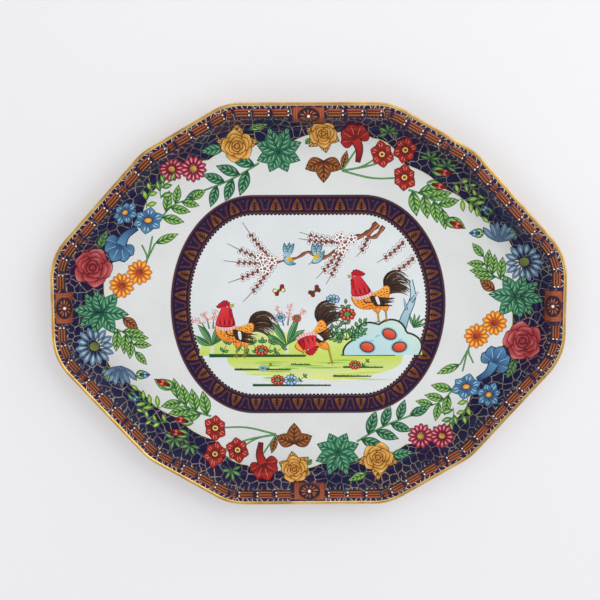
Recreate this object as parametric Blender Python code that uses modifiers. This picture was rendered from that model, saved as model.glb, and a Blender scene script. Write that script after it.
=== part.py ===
"""Large printed tin serving tray: a drawn sheet with a twelve-sided outline and a wired hem.

The tray lies on its flat floor. +X runs along its length, +Y across it and +Z up out of the
floor. The origin is the middle of the floor's underside.

Every ring of the shape is a parallel curve of one outline, so the whole section of the tray is
a path of (inset, height) points: inset is the distance inwards from the outer edge.
"""

import math

import bmesh
import bpy
from mathutils import Vector

# Outline, in metres: one quarter of the twelve-sided shape, up to its unrounded corners
HALF_LENGTH = 0.2500
HALF_WIDTH = 0.1965
LONG_SIDE_HALF = 0.0788
SHORT_SIDE_HALF = 0.0496
SHOULDER_X = 0.1595
SHOULDER_Y = 0.1498
CORNER_RADIUS = 0.058
CORNER_STEPS = 5

# Section
HEIGHT = 0.025
SHEET = 0.0003
HEM_RADIUS = 0.0016
HEM_JOIN_DEG = 125
HEM_END_DEG = -150
HEM_STEPS = 8
LEDGE_INSET = 0.0036
LEDGE_OUTER_Z = 0.0237
CREASE_INSET = 0.0143
CREASE_Z = 0.0245
CREASE_RADIUS = 0.0022
CREASE_STEPS = 3
FOOT_INSET = 0.0240
COVE_RADIUS = 0.0050
COVE_STEPS = 4

# Fit of the pieces to each other
GAP = 0.0003
FILM = 0.00015
WIRE_RADIUS = 0.00095
WIRE_JOINT = 0.0006
WIRE_RESOLUTION = 2

COLLECTION = "serving_tray"


def clear_scene():
    for obj in list(bpy.data.objects):
        bpy.data.objects.remove(obj)


def material(name, colour, metallic, roughness):
    made = bpy.data.materials.new(name)
    made.use_nodes = True
    shader = made.node_tree.nodes["Principled BSDF"]
    shader.inputs["Base Color"].default_value = (*colour, 1)
    shader.inputs["Metallic"].default_value = metallic
    shader.inputs["Roughness"].default_value = roughness
    return made


def outline_corners():
    """The twelve unrounded corners, anticlockwise from the one at the right end's upper side."""
    quarter = [
        (HALF_LENGTH, SHORT_SIDE_HALF),
        (SHOULDER_X, SHOULDER_Y),
        (LONG_SIDE_HALF, HALF_WIDTH),
    ]
    upper = quarter + [(-x, y) for x, y in reversed(quarter)]
    lower = [(-x, -y) for x, y in upper]
    return [Vector(point) for point in upper + lower]


def corner_arcs():
    """(centre, start angle, end angle) of each rounded corner."""
    corners = outline_corners()
    arcs = []
    for index, corner in enumerate(corners):
        before = (corner - corners[index - 1]).normalized()
        after = (corners[(index + 1) % len(corners)] - corner).normalized()
        start = math.atan2(-before.x, before.y)
        end = start + before.angle_signed(after) * -1
        half_turn = (end - start) / 2
        towards_centre = Vector((-math.cos(start + half_turn), -math.sin(start + half_turn)))
        centre = corner + towards_centre * (CORNER_RADIUS / math.cos(half_turn))
        arcs.append((centre, start, end))
    return arcs


def ring(inset, height):
    """The tray's outline, moved inwards by inset, at one height."""
    radius = CORNER_RADIUS - inset
    points = []
    for centre, start, end in corner_arcs():
        for step in range(CORNER_STEPS + 1):
            angle = start + (end - start) * step / CORNER_STEPS
            x = centre.x + radius * math.cos(angle)
            y = centre.y + radius * math.sin(angle)
            points.append(Vector((x, y, height)))
    return points


def rounded_bend(before, corner, after, radius, steps):
    """Points of an arc that replaces one corner of the section."""
    into = (corner - before).normalized()
    out = (after - corner).normalized()
    turn = into.angle(out)
    reach = radius * math.tan(turn / 2)
    side = 1 if into.x * out.y - into.y * out.x > 0 else -1
    centre = corner - into * reach + Vector((-into.y, into.x)) * radius * side
    first = corner - into * reach - centre
    points = []
    for step in range(steps + 1):
        angle = side * turn * step / steps
        cos, sin = math.cos(angle), math.sin(angle)
        points.append(centre + Vector((first.x * cos - first.y * sin, first.x * sin + first.y * cos)))
    return points


def hem_section():
    """The curl, from its hidden end under the ledge round to where it meets the ledge."""
    middle_radius = HEM_RADIUS - SHEET / 2
    points = []
    for step in range(HEM_STEPS + 1):
        angle = math.radians(HEM_END_DEG + (HEM_JOIN_DEG - HEM_END_DEG) * step / HEM_STEPS)
        inset = HEM_RADIUS - middle_radius * math.cos(angle)
        points.append(Vector((inset, HEIGHT - HEM_RADIUS + middle_radius * math.sin(angle))))
    return points


def dish_section():
    """The ledge, crease, wall and cove, from the ledge's outer end in to the floor."""
    ledge = Vector((LEDGE_INSET, LEDGE_OUTER_Z))
    crease = Vector((CREASE_INSET, CREASE_Z))
    foot = Vector((FOOT_INSET, SHEET / 2))
    floor = Vector((CORNER_RADIUS, SHEET / 2))
    return [
        ledge,
        *rounded_bend(ledge, crease, foot, CREASE_RADIUS, CREASE_STEPS),
        *rounded_bend(crease, foot, floor, COVE_RADIUS, COVE_STEPS),
    ]


def raised(section, distance):
    """The same section, moved towards the side that the tray is loaded from."""
    moved = []
    for index, point in enumerate(section):
        along = section[min(index + 1, len(section) - 1)] - section[max(index - 1, 0)]
        if index == len(section) - 1:
            along = Vector((1, 0))
        along.normalize()
        moved.append(point + Vector((-along.y, along.x)) * distance)
    return moved


def shell(name, section, thickness, look):
    """A dished sheet: rings along the section, a flat floor inside the last one, and thickness."""
    mesh = bmesh.new()
    previous = None
    for inset, height in section:
        verts = [mesh.verts.new(point) for point in ring(inset, height)]
        if previous:
            for index, vert in enumerate(verts):
                mesh.faces.new((previous[index - 1], previous[index], vert, verts[index - 1]))
        previous = verts
    mesh.faces.new(previous)
    bmesh.ops.recalc_face_normals(mesh, faces=mesh.faces)
    data = bpy.data.meshes.new(name)
    mesh.to_mesh(data)
    mesh.free()
    data.shade_smooth()
    data.set_sharp_from_angle(angle=math.radians(40))
    piece = bpy.data.objects.new(name, data)
    piece.data.materials.append(look)
    solidify = piece.modifiers.new("thickness", "SOLIDIFY")
    solidify.thickness = thickness
    solidify.offset = 0
    solidify.use_even_offset = True
    return piece


def rim_wire(look):
    """The wire inside the hem, bent round the outline, with its two ends meeting at the right side."""
    height = HEIGHT - HEM_RADIUS
    right = HALF_LENGTH - HEM_RADIUS
    points = [Vector((right, WIRE_JOINT / 2, height))]
    points += ring(HEM_RADIUS, height)
    points += [Vector((right, -WIRE_JOINT / 2, height))]
    curve = bpy.data.curves.new("rim_wire", "CURVE")
    curve.dimensions = "3D"
    curve.bevel_depth = WIRE_RADIUS
    curve.bevel_resolution = WIRE_RESOLUTION
    curve.use_fill_caps = True
    spline = curve.splines.new("POLY")
    spline.points.add(len(points) - 1)
    for target, point in zip(spline.points, points):
        target.co = (*point, 1)
    curve.materials.append(look)
    return bpy.data.objects.new("rim_wire", curve)


def main():
    clear_scene()
    gold_tin = material("gold_lacquered_tinplate", (0.60, 0.42, 0.16), 0.8, 0.35)
    bare_steel = material("steel_wire", (0.55, 0.55, 0.57), 1.0, 0.4)
    enamel = material("printed_enamel", (0.74, 0.77, 0.76), 0.0, 0.25)
    film_lift = SHEET / 2 + GAP + FILM / 2
    pieces = [
        shell("tray_pressing", hem_section() + dish_section(), SHEET, gold_tin),
        rim_wire(bare_steel),
        shell("printed_face", raised(dish_section(), film_lift), FILM, enamel),
    ]
    collection = bpy.data.collections.new(COLLECTION)
    bpy.context.scene.collection.children.link(collection)
    for piece in pieces:
        collection.objects.link(piece)


main()
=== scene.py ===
"""Looks of the printed tin serving tray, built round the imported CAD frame.

The picture is drawn as flat shapes in millimetres on the sheet as it lies before pressing, with
the origin in its middle, X to the right and Y towards the top of the picture. The shapes are cut
into one mesh, and that mesh is folded up the cove, over the wall and out along the ledge.
"""

import math
import random

import bpy
import numpy as np
from mathutils import Matrix, Vector
from mathutils.geometry import delaunay_2d_cdt


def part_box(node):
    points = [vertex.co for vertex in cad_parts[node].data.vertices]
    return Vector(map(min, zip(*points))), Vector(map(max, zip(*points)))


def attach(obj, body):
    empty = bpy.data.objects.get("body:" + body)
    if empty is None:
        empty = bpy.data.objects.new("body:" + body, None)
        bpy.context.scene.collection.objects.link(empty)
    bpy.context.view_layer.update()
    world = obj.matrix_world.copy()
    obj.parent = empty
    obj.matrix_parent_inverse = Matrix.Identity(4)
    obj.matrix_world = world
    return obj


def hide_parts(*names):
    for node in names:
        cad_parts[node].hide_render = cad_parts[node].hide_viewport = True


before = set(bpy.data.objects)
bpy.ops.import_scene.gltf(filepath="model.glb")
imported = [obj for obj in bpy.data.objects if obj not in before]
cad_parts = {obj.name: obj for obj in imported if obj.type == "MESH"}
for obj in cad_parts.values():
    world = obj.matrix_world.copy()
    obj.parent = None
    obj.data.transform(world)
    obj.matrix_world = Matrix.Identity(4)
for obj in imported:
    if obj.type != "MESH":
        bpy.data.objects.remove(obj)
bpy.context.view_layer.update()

MM = 0.001

# ---------------------------------------------------------------- the tray's shape, in millimetres
LOW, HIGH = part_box("tray_pressing")
HALF_LENGTH = (HIGH.x - LOW.x) / 2 / MM
HALF_WIDTH = (HIGH.y - LOW.y) / 2 / MM
HEIGHT = HIGH.z / MM
LONG_SIDE_HALF = 78.8
SHORT_SIDE_HALF = 49.6
SHOULDER = (159.5, 149.8)
CORNER_RADIUS = 58.0
CORNER_STEPS = 12

SHEET = 0.3
FILM = 0.05
FILM_GAP = 0.03
HEM_RADIUS = 1.6
HEM_JOIN_DEG = 125
HEM_END_DEG = -150
HEM_STEPS = 24
LEDGE_END = (3.3, 23.7)
CREASE = (14.3, 24.5)
CREASE_RADIUS = 2.2
WALL_FOOT = (24.0, SHEET / 2)
COVE_RADIUS = 5.0
BEND_STEPS = 10
WALL_STEPS = 3
LEDGE_STEPS = 2
WALL_DRAW = 0.38


def unit(vector):
    return vector / np.linalg.norm(vector)


def outline_corners():
    """The twelve unrounded corners of the outline, anticlockwise from the right end."""
    quarter = [(HALF_LENGTH, SHORT_SIDE_HALF), SHOULDER, (LONG_SIDE_HALF, HALF_WIDTH)]
    upper = quarter + [(-x, y) for x, y in reversed(quarter)]
    return np.array(upper + [(-x, -y) for x, y in upper])


def corner_arcs():
    """(centre, start angle, end angle) of each rounded corner."""
    corners = outline_corners()
    arcs = []
    for index, corner in enumerate(corners):
        before = unit(corner - corners[index - 1])
        after = unit(corners[(index + 1) % len(corners)] - corner)
        start = math.atan2(-before[0], before[1])
        turn = math.atan2(before[0] * after[1] - before[1] * after[0], before @ after)
        middle = start + turn / 2
        reach = CORNER_RADIUS / math.cos(turn / 2)
        centre = corner - reach * np.array((math.cos(middle), math.sin(middle)))
        arcs.append((centre, start, start + turn))
    return arcs


ARCS = corner_arcs()
CORE = np.array([centre for centre, _, _ in ARCS])


def ring(radius, steps=CORNER_STEPS):
    """The line that runs all round the tray at one distance from its inner twelve-sided core."""
    points = []
    for centre, start, end in ARCS:
        for angle in np.linspace(start, end, steps + 1):
            points.append(centre + radius * np.array((math.cos(angle), math.sin(angle))))
    return np.array(points)


def rounded_bend(before, corner, after, radius, steps=BEND_STEPS):
    """Points of the arc that replaces one corner of the section."""
    before, corner, after = map(np.array, (before, corner, after))
    into, out = unit(corner - before), unit(after - corner)
    turn = math.atan2(into[0] * out[1] - into[1] * out[0], into @ out)
    start = corner - into * radius * math.tan(abs(turn) / 2)
    centre = start + math.copysign(radius, turn) * np.array((-into[1], into[0]))
    arm = start - centre
    points = []
    for angle in np.linspace(0, turn, steps + 1):
        cos, sin = math.cos(angle), math.sin(angle)
        points.append(centre + (arm[0] * cos - arm[1] * sin, arm[0] * sin + arm[1] * cos))
    return points


def dish_section():
    """(inset, height) of the sheet's middle, from the floor out over the wall to the ledge's end."""
    floor = (CORNER_RADIUS, SHEET / 2)
    cove = rounded_bend(floor, WALL_FOOT, CREASE, COVE_RADIUS)
    crease = rounded_bend(WALL_FOOT, CREASE, LEDGE_END, CREASE_RADIUS)
    wall = [cove[-1] + (crease[0] - cove[-1]) * k / WALL_STEPS for k in range(1, WALL_STEPS)]
    end = np.array(LEDGE_END)
    ledge = [crease[-1] + (end - crease[-1]) * k / LEDGE_STEPS for k in range(1, LEDGE_STEPS + 1)]
    return np.array([*cove, *wall, *crease, *ledge])


def section_normals(section):
    """Unit vectors (inwards, up) that stand off the printed side of the section."""
    along = np.gradient(section, axis=0)
    along[0] = (-1, 0)
    along /= np.linalg.norm(along, axis=1)[:, None]
    return np.stack([along[:, 1], -along[:, 0]], axis=1)


SECTION = dish_section()
SECTION_NORMALS = section_normals(SECTION)
SECTION_STEPS = np.diff(SECTION, axis=0)
# The press draws the wall out of less sheet than its own length, so its print is stretched upwards.
SHEET_STEPS = np.linalg.norm(SECTION_STEPS, axis=1) - WALL_DRAW * np.abs(SECTION_STEPS[:, 1])
SECTION_LENGTHS = np.r_[0, np.cumsum(SHEET_STEPS)]
FLOOR_RADIUS = CORNER_RADIUS - SECTION[0, 0]


def core_point(points):
    """The nearest point of the core to each point, and how far away it is; 0 inside the core."""
    nearest = np.zeros_like(points)
    distance = np.full(len(points), np.inf)
    inside = np.ones(len(points), bool)
    for start, end in zip(CORE, np.roll(CORE, -1, axis=0)):
        edge = end - start
        share = np.clip((points - start) @ edge / (edge @ edge), 0, 1)
        foot = start + share[:, None] * edge
        gap = np.linalg.norm(points - foot, axis=1)
        closer = gap < distance
        nearest[closer], distance[closer] = foot[closer], gap[closer]
        inside &= edge[0] * (points - start)[:, 1] - edge[1] * (points - start)[:, 0] >= 0
    distance[inside] = 0
    return nearest, distance


def fold(points, lift=0.0):
    """Points of the flat sheet, and their normals, once it is pressed; lift is off its middle."""
    points = np.asarray(points, float)
    nearest, distance = core_point(points)
    run = distance - FLOOR_RADIUS
    placed = np.c_[points, np.full(len(points), SHEET / 2 + lift)]
    normals = np.tile((0.0, 0.0, 1.0), (len(points), 1))
    bent = run > 0
    away = (points[bent] - nearest[bent]) / distance[bent][:, None]
    inset, height, inwards, up = (
        np.interp(run[bent], SECTION_LENGTHS, values)
        for values in (*SECTION.T, *SECTION_NORMALS.T)
    )
    reach = CORNER_RADIUS - inset - lift * inwards
    placed[bent, :2] = nearest[bent] + away * reach[:, None]
    placed[bent, 2] = height + lift * up
    normals[bent] = np.c_[-away * inwards[:, None], up]
    return placed, normals / np.linalg.norm(normals, axis=1)[:, None]


def flat_radius(inset):
    """Distance from the core, on the flat sheet, of the line that ends up inset from the edge."""
    order = np.argsort(SECTION[:, 0])
    run = np.interp(inset, SECTION[order, 0], SECTION_LENGTHS[order])
    return FLOOR_RADIUS + run


# ---------------------------------------------------------------- drawing on the flat sheet
def ink(red, green, blue):
    """A printed colour, from its 0-255 screen values to linear light."""
    share = np.array((red, green, blue)) / 255
    return np.where(share <= 0.04045, share / 12.92, ((share + 0.055) / 1.055) ** 2.4)


class Picture:
    """Flat shapes in printing order: a later one covers an earlier one."""

    def __init__(self):
        self.shapes = []

    def add(self, outline, colour, end_colour=None, start=None, end=None, crackle=0):
        """One filled shape. With end_colour it shades from start to end, two points."""
        self.shapes.append(
            {
                "outline": np.asarray(outline, float),
                "colour": colour,
                "end_colour": colour if end_colour is None else end_colour,
                "start": np.zeros(2) if start is None else np.array(start, float),
                "end": np.array((1.0, 0)) if end is None else np.array(end, float),
                "crackle": crackle,
            }
        )

    def repeat_half_turn(self, first):
        """Prints every shape from number first on again, turned half round the tray's centre."""
        for shape in self.shapes[first:]:
            turned = {key: -shape[key] for key in ("outline", "start", "end")}
            self.shapes.append({**shape, **turned})


def polar(centre, angle, radius):
    """A point at an angle, in degrees anticlockwise from the right, and a distance."""
    angle = math.radians(angle)
    return np.array(centre) + radius * np.array((math.cos(angle), math.sin(angle)))


def ellipse(centre, wide, high, angle=0, steps=12):
    turn = np.linspace(0, 2 * math.pi, steps, endpoint=False)
    x, y = wide / 2 * np.cos(turn), high / 2 * np.sin(turn)
    cos, sin = math.cos(math.radians(angle)), math.sin(math.radians(angle))
    return np.array(centre) + np.c_[x * cos - y * sin, x * sin + y * cos]


def smooth(points, steps=4, closed=False):
    """A Catmull-Rom curve through a few points."""
    points = np.array(points, float)
    if closed:
        padded = np.r_[points[-1:], points, points[:2]]
    else:
        padded = np.r_[2 * points[:1] - points[1:2], points, 2 * points[-1:] - points[-2:-1]]
    made = []
    for a, b, c, d in zip(padded, padded[1:], padded[2:], padded[3:]):
        for t in np.linspace(0, 1, steps, endpoint=False):
            made.append(
                0.5 * (2 * b + (c - a) * t + (2 * a - 5 * b + 4 * c - d) * t**2
                       + (3 * b - a - 3 * c + d) * t**3)
            )
    return np.array(made if closed else made + [points[-1]])


def sides(points):
    """Unit vectors to the left of a line, at each of its points."""
    along = np.gradient(points, axis=0)
    along /= np.maximum(np.linalg.norm(along, axis=1)[:, None], 1e-9)
    return np.c_[-along[:, 1], along[:, 0]]


def ribbon(points, width, end_width=None, steps=4):
    """A stroke along a smooth curve, tapering from one width to the other."""
    line = smooth(points, steps) if len(points) > 2 else np.array(points, float)
    widths = np.linspace(width, width if end_width is None else end_width, len(line))
    across = sides(line) * widths[:, None] / 2
    return np.r_[line + across, (line - across)[::-1]]


def blade_line(base, tip, width, bend, fullest, steps, blunt):
    """The middle line of a blade, and the arm from it to the blade's left edge."""
    base, tip = np.array(base, float), np.array(tip, float)
    share = np.linspace(0, 1, steps + 1)
    power = math.log(0.5) / math.log(fullest)
    swell = np.sin(math.pi * share**power) ** (1 - 0.45 * blunt)
    across = np.array((-(tip - base)[1], (tip - base)[0])) / np.linalg.norm(tip - base)
    line = base + share[:, None] * (tip - base) + (4 * bend * share * (1 - share))[:, None] * across
    return line, (width / 2 * swell)[:, None] * sides(line)


def blade(base, tip, width, bend=0.0, fullest=0.5, steps=7, blunt=0.0):
    """A leaf or petal from base to tip. bend pushes its middle sideways; blunt rounds the tip."""
    line, half = blade_line(base, tip, width, bend, fullest, steps, blunt)
    return np.r_[line + half, (line - half)[-2:0:-1]]


def half_blade(base, tip, width, bend, fullest, side, steps=7):
    """The part of a blade to one side of its middle line: 1 for left, -1 for right."""
    line, half = blade_line(base, tip, width, bend, fullest, steps, 0.0)
    return np.r_[line + side * half, line[-2:0:-1]]


# ---------------------------------------------------------------- printing inks
WHITE = ink(222, 225, 222)
PICTURE_WHITE = ink(221, 226, 226)
NAVY = ink(18, 14, 62)
FRAME_NAVY = ink(16, 8, 58)
PALE_GOLD = ink(236, 214, 120)
TICK = ink(216, 206, 168)
CRACK = ink(172, 156, 128)
INK_BLACK = ink(34, 24, 22)
RUST_DEEP = ink(120, 46, 24)
DOT = ink(250, 236, 214)

# edge, body at the base, body at the tip, streak
DARK_LEAF = (ink(10, 46, 42), ink(24, 84, 62), ink(60, 128, 88), ink(150, 200, 150))
GREEN_LEAF = (ink(20, 62, 38), ink(44, 108, 56), ink(116, 170, 80), ink(196, 220, 128))
LIGHT_LEAF = (ink(40, 92, 40), ink(96, 152, 58), ink(158, 192, 72), ink(206, 226, 118))
CLUSTER_LEAF = (ink(12, 58, 46), ink(30, 100, 74), ink(72, 144, 104), ink(158, 206, 164))
BROWN_LEAF = (ink(52, 26, 18), ink(100, 50, 24), ink(140, 78, 36), ink(204, 142, 74))
NIGHT_LEAF = (ink(30, 60, 44), ink(56, 104, 58), ink(92, 138, 72), ink(140, 176, 110))
CRIMSON_PETAL = (ink(84, 10, 28), ink(124, 18, 42), ink(186, 54, 80), ink(236, 158, 172))
ORANGE_PETAL = (ink(132, 52, 16), ink(206, 92, 22), ink(240, 148, 40), ink(252, 196, 84))
RED_PETAL = (ink(58, 6, 12), ink(104, 14, 18), ink(188, 44, 40), ink(232, 128, 100))
BLUE_PETAL = (ink(16, 30, 56), ink(30, 66, 110), ink(92, 146, 186), ink(172, 206, 222))
SLATE_PETAL = (ink(28, 42, 64), ink(60, 84, 116), ink(112, 144, 170), ink(176, 198, 208))
YELLOW_ROSE = (ink(88, 42, 14), ink(124, 66, 24), ink(222, 160, 68), ink(252, 224, 140))
PINK_ROSE = (ink(70, 14, 20), ink(108, 26, 34), ink(180, 62, 68), ink(224, 138, 136))
STEM = (ink(34, 92, 54), ink(112, 174, 92))


# ---------------------------------------------------------------- flowers and leaves
def between(start, end, share):
    return np.array(start) + share * (np.array(end) - np.array(start))


def spine_point(base, tip, bend, share):
    across = np.array((-(tip[1] - base[1]), tip[0] - base[0]))
    across = across / max(np.linalg.norm(across), 1e-9)
    return between(base, tip, share) + 4 * bend * share * (1 - share) * across


def leaf(p, base, tip, width, look=GREEN_LEAF, bend=0.0, streaks=4, fullest=0.45):
    """A pointed leaf: shaded halves, dark side veins, pale streaks between them and a midrib."""
    edge, body, light, streak = look
    base, tip = np.array(base), np.array(tip)
    length = np.linalg.norm(tip - base)
    across = np.array((-(tip - base)[1], (tip - base)[0])) / length
    middle = spine_point(base, tip, bend, fullest)
    pale = between(light, streak, 0.8)
    inner_base, inner_tip = between(base, tip, 0.03), between(base, tip, 0.95)
    p.add(blade(base, tip, width, bend, fullest, 9), edge)
    for side in (-1, 1):
        half = half_blade(inner_base, inner_tip, width - 1.0, bend, fullest, side)
        p.add(half, body, light, middle, middle + side * across * width * 0.36)
    spacing = 0.74 / max(streaks, 1)
    for index in range(streaks):
        share = 0.1 + spacing * index
        for side in (-1, 1):
            for offset, reach, colour, wide in (
                (0.0, 0.42, edge, 0.11), (0.45, 0.34, pale, 0.2),
            ):
                at = share + offset * spacing
                far = min(at + 0.2, 0.93)
                swell = math.sin(math.pi * far ** (math.log(0.5) / math.log(fullest)))
                root = spine_point(base, tip, bend, at) + side * across * width * 0.03
                end = spine_point(base, tip, bend, far) + side * across * width * reach * swell
                vein = blade(root, end, wide * spacing * length, side * 0.3, 0.45, 4)
                p.add(vein, colour)
    if streaks:
        rib = [spine_point(base, tip, bend, share) for share in (0.0, 0.45, 0.88)]
        p.add(ribbon(rib, 0.9, 0.3, 3), edge)


def leaflet(p, base, tip, width, look=LIGHT_LEAF, bend=0.0):
    """A small plain leaf with one pale streak."""
    edge, body, light, streak = look
    p.add(blade(base, tip, width, bend, steps=6), edge)
    inner_base, inner_tip = between(base, tip, 0.06), between(base, tip, 0.9)
    p.add(blade(inner_base, inner_tip, width - 1.0, bend, steps=5), body, light, base, tip)
    start, end = between(base, tip, 0.25), between(base, tip, 0.78)
    p.add(blade(start, end, width * 0.22, bend * 0.6, steps=3), streak)


def stem(p, points, width=1.6, look=STEM):
    edge, light = look
    p.add(ribbon(points, width, width * 0.8), edge)
    p.add(ribbon(points, width * 0.45, width * 0.3), light)


def daisy(p, centre, radius, count, look, heart, turn=0.0, plump=0.8, blunt=1.0):
    """Narrow blunt petals round a small domed heart."""
    edge, body, light, streak = look
    width = 2 * math.pi * radius * plump / count
    for index in range(count):
        angle = turn + 360 * index / count
        reach = radius * (1.0 - 0.07 * (index % 3 == 1))
        base, tip = polar(centre, angle, radius * 0.2), polar(centre, angle, reach)
        p.add(blade(base, tip, width, 0, 0.62, 7, blunt), edge)
        base, tip = polar(centre, angle, radius * 0.26), polar(centre, angle, reach - 0.5)
        p.add(blade(base, tip, width - 0.9, 0, 0.62, 6, blunt), body, light, base, tip)
        base, tip = polar(centre, angle, radius * 0.42), polar(centre, angle, reach * 0.82)
        p.add(blade(base, tip, width * 0.34, 0, 0.6, 4), streak)
    p.add(ellipse(centre, radius * 0.58, radius * 0.52), edge)
    p.add(ellipse(centre, radius * 0.48, radius * 0.42), heart[0], heart[1],
          polar(centre, 225, radius * 0.2), polar(centre, 45, radius * 0.2))


def rose_petal(p, centre, angle, inner, outer, spread, look):
    """One broad rolled petal: dark edge, shaded body and a pale lip along its rim."""
    edge, deep, mid, lip = look
    turns = np.linspace(-1, 1, 9)

    def arc(radius, fall, share):
        return [polar(centre, angle + spread * share * t,
                      radius * (1 - fall * t * t + 0.035 * math.cos(7 * t + angle))) for t in turns]

    root = [polar(centre, angle + spread * t, inner) for t in (0.7, -0.7)]
    p.add(np.array(arc(outer, 0.26, 1.0) + root), edge)
    p.add(np.array(arc(outer - 0.6, 0.25, 0.95) + root), deep, mid,
          polar(centre, angle, inner), polar(centre, angle, outer))
    rim = arc(outer - 0.6, 0.25, 0.9) + arc(outer - 0.6 - 0.22 * outer, 0.1, 0.66)[::-1]
    p.add(np.array(rim), mid, lip, polar(centre, angle, outer * 0.8), polar(centre, angle, outer))


def rose(p, centre, radius, look, turn=0.0, rings=((1.0, 5), (0.76, 4), (0.54, 3), (0.34, 3))):
    """An open rose: rings of rolled petals round a tight swirl."""
    for level, (share, count) in enumerate(rings):
        for index in range(count):
            angle = turn + 360 * index / count + 41 * level
            rose_petal(p, centre, angle, radius * share * 0.35, radius * share, 225 / count, look)
    edge, mid = look[0], look[2]
    p.add(ellipse(centre, radius * 0.34, radius * 0.3, turn), edge)
    p.add(ellipse(centre, radius * 0.26, radius * 0.22, turn), mid)
    swirl = [polar(centre, turn + a, radius * r) for a, r in ((0, 0.02), (120, 0.07), (240, 0.1))]
    p.add(ribbon(swirl, 0.5, 0.3, 3), edge)


def star(p, centre, radius, count, look, eye, turn=0.0, squash=1.0, lean=0.0, width=0.95,
         blunt=0.3):
    """An open trumpet flower: broad pointed petals round an oval throat."""
    edge, body, light, streak = look
    lean = math.radians(lean)

    def squashed(points):
        """Narrows the flower along one direction, as a tilted one looks."""
        along = np.array((math.cos(lean), math.sin(lean)))
        arm = np.atleast_2d(points) - np.array(centre)
        arm = arm - np.outer(arm @ along, along) * (1 - squash)
        return arm + np.array(centre)

    for index in range(count):
        angle = turn + 360 * index / count
        reach = radius * (1.0 + 0.08 * math.sin(2.3 * index))
        base, tip = np.array(centre, float), polar(centre, angle, reach)
        p.add(squashed(blade(base, tip, radius * width, 0, 0.5, 7, blunt)), edge)
        inner_tip = polar(centre, angle, reach - 0.8)
        p.add(squashed(blade(base, inner_tip, radius * width - 1.0, 0, 0.5, 7, blunt)),
              body, light, *squashed([base, inner_tip]))
        for side in (-9, 9):
            start, end = polar(centre, angle + side, reach * 0.45), polar(centre, angle + side, reach * 0.8)
            p.add(squashed(blade(start, end, radius * 0.09, 0, steps=3)), streak)
        rib = [polar(centre, angle, reach * 0.2), polar(centre, angle, reach * 0.72)]
        p.add(squashed(ribbon(rib, 0.5, 0.2)), edge)
    size = radius * 0.5
    p.add(squashed(ellipse(centre, size * 1.15, size)), edge)
    p.add(squashed(ellipse(centre, size * 0.95, size * 0.8)), eye[0])
    p.add(squashed(ellipse(centre, size * 0.55, size * 0.42)), eye[1])


def fan_flower(p, base, tips, width, look):
    """A flower seen from the side: narrow petals spread from one point."""
    edge, body, light, streak = look
    for index, tip in enumerate(tips):
        bend = 0.9 if index % 2 else -0.9
        p.add(blade(base, tip, width, bend, 0.6, 6, 0.4), edge)
        inner_tip = between(base, tip, 0.93)
        p.add(blade(base, inner_tip, width - 0.9, bend, 0.6, 6, 0.4), body, light, base, tip)
        p.add(blade(between(base, tip, 0.3), between(base, tip, 0.85), 0.6, bend, steps=3), streak)


def bud(p, base, tip, width, look, leaves=GREEN_LEAF):
    """A closed bud held in two green sepals."""
    leaf(p, between(base, tip, 0.25), tip, width, look, streaks=1, fullest=0.4)
    base, tip = np.array(base), np.array(tip)
    across = np.array((-(tip - base)[1], (tip - base)[0])) / np.linalg.norm(tip - base)
    for side in (-1, 1):
        end = between(base, tip, 0.62) + side * across * width * 0.42
        leaflet(p, base, end, width * 0.5, leaves, side * 1.2)


# ---------------------------------------------------------------- the wreath
NAVY_SHARE = 0.805
DAISY_HEART = (ink(176, 120, 40), ink(232, 176, 84))
ORANGE_HEART = (ink(128, 40, 16), ink(196, 70, 28))
RED_EYE = (ink(238, 214, 120), ink(140, 60, 24))
BLUE_EYE = (ink(216, 140, 50), ink(240, 190, 92))


def edge_reach():
    """Bearings, and the distance from the centre to the flat sheet's edge at each."""
    line = ring(FLOOR_RADIUS + SECTION_LENGTHS[-1])
    runs = zip(line, np.roll(line, -1, axis=0))
    dense = np.concatenate([np.linspace(a, b, 12, endpoint=False) for a, b in runs])
    return np.degrees(np.arctan2(dense[:, 1], dense[:, 0])), np.linalg.norm(dense, axis=1)


EDGE_BEARINGS, EDGE_DISTANCES = edge_reach()


def spot(bearing, share):
    """A place: a bearing from the tray's centre and a share of the way to the sheet's edge."""
    reach = np.interp(bearing, EDGE_BEARINGS, EDGE_DISTANCES, period=360)
    return polar((0, 0), bearing, share * reach)


def spray(p, start, end, count, length, width, look, draw=leaf, bend=5.0, splay=46):
    """A curved stem with leaves that alternate along it, and one at its end."""
    line = [spine_point(start, end, bend, share) for share in (0, 0.33, 0.66, 1)]
    stem(p, line, 0.18 * width)
    heading = math.degrees(math.atan2(*(end - start)[::-1]))
    for index in range(count):
        share = 0.08 + 0.84 * index / count
        size = 1 - 0.25 * share
        base = spine_point(start, end, bend, share)
        side = 1 if index % 2 else -1
        draw(p, base, polar(base, heading + side * splay, length * size), width * size, look)
    draw(p, line[-1], polar(line[-1], heading, 0.8 * length), 0.8 * width, look)


def leaf_fan(p, centre, heading, count, spread, length, width, look, draw=leaf):
    """Lobes spread evenly round one point, the middle ones longest and on top."""
    turns = sorted(np.linspace(-spread / 2, spread / 2, count), key=lambda turn: -abs(turn))
    for turn in turns:
        reach = length * (1 - 0.25 * abs(turn) / 180)
        draw(p, centre, polar(centre, heading + turn, reach), width, look)


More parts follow.
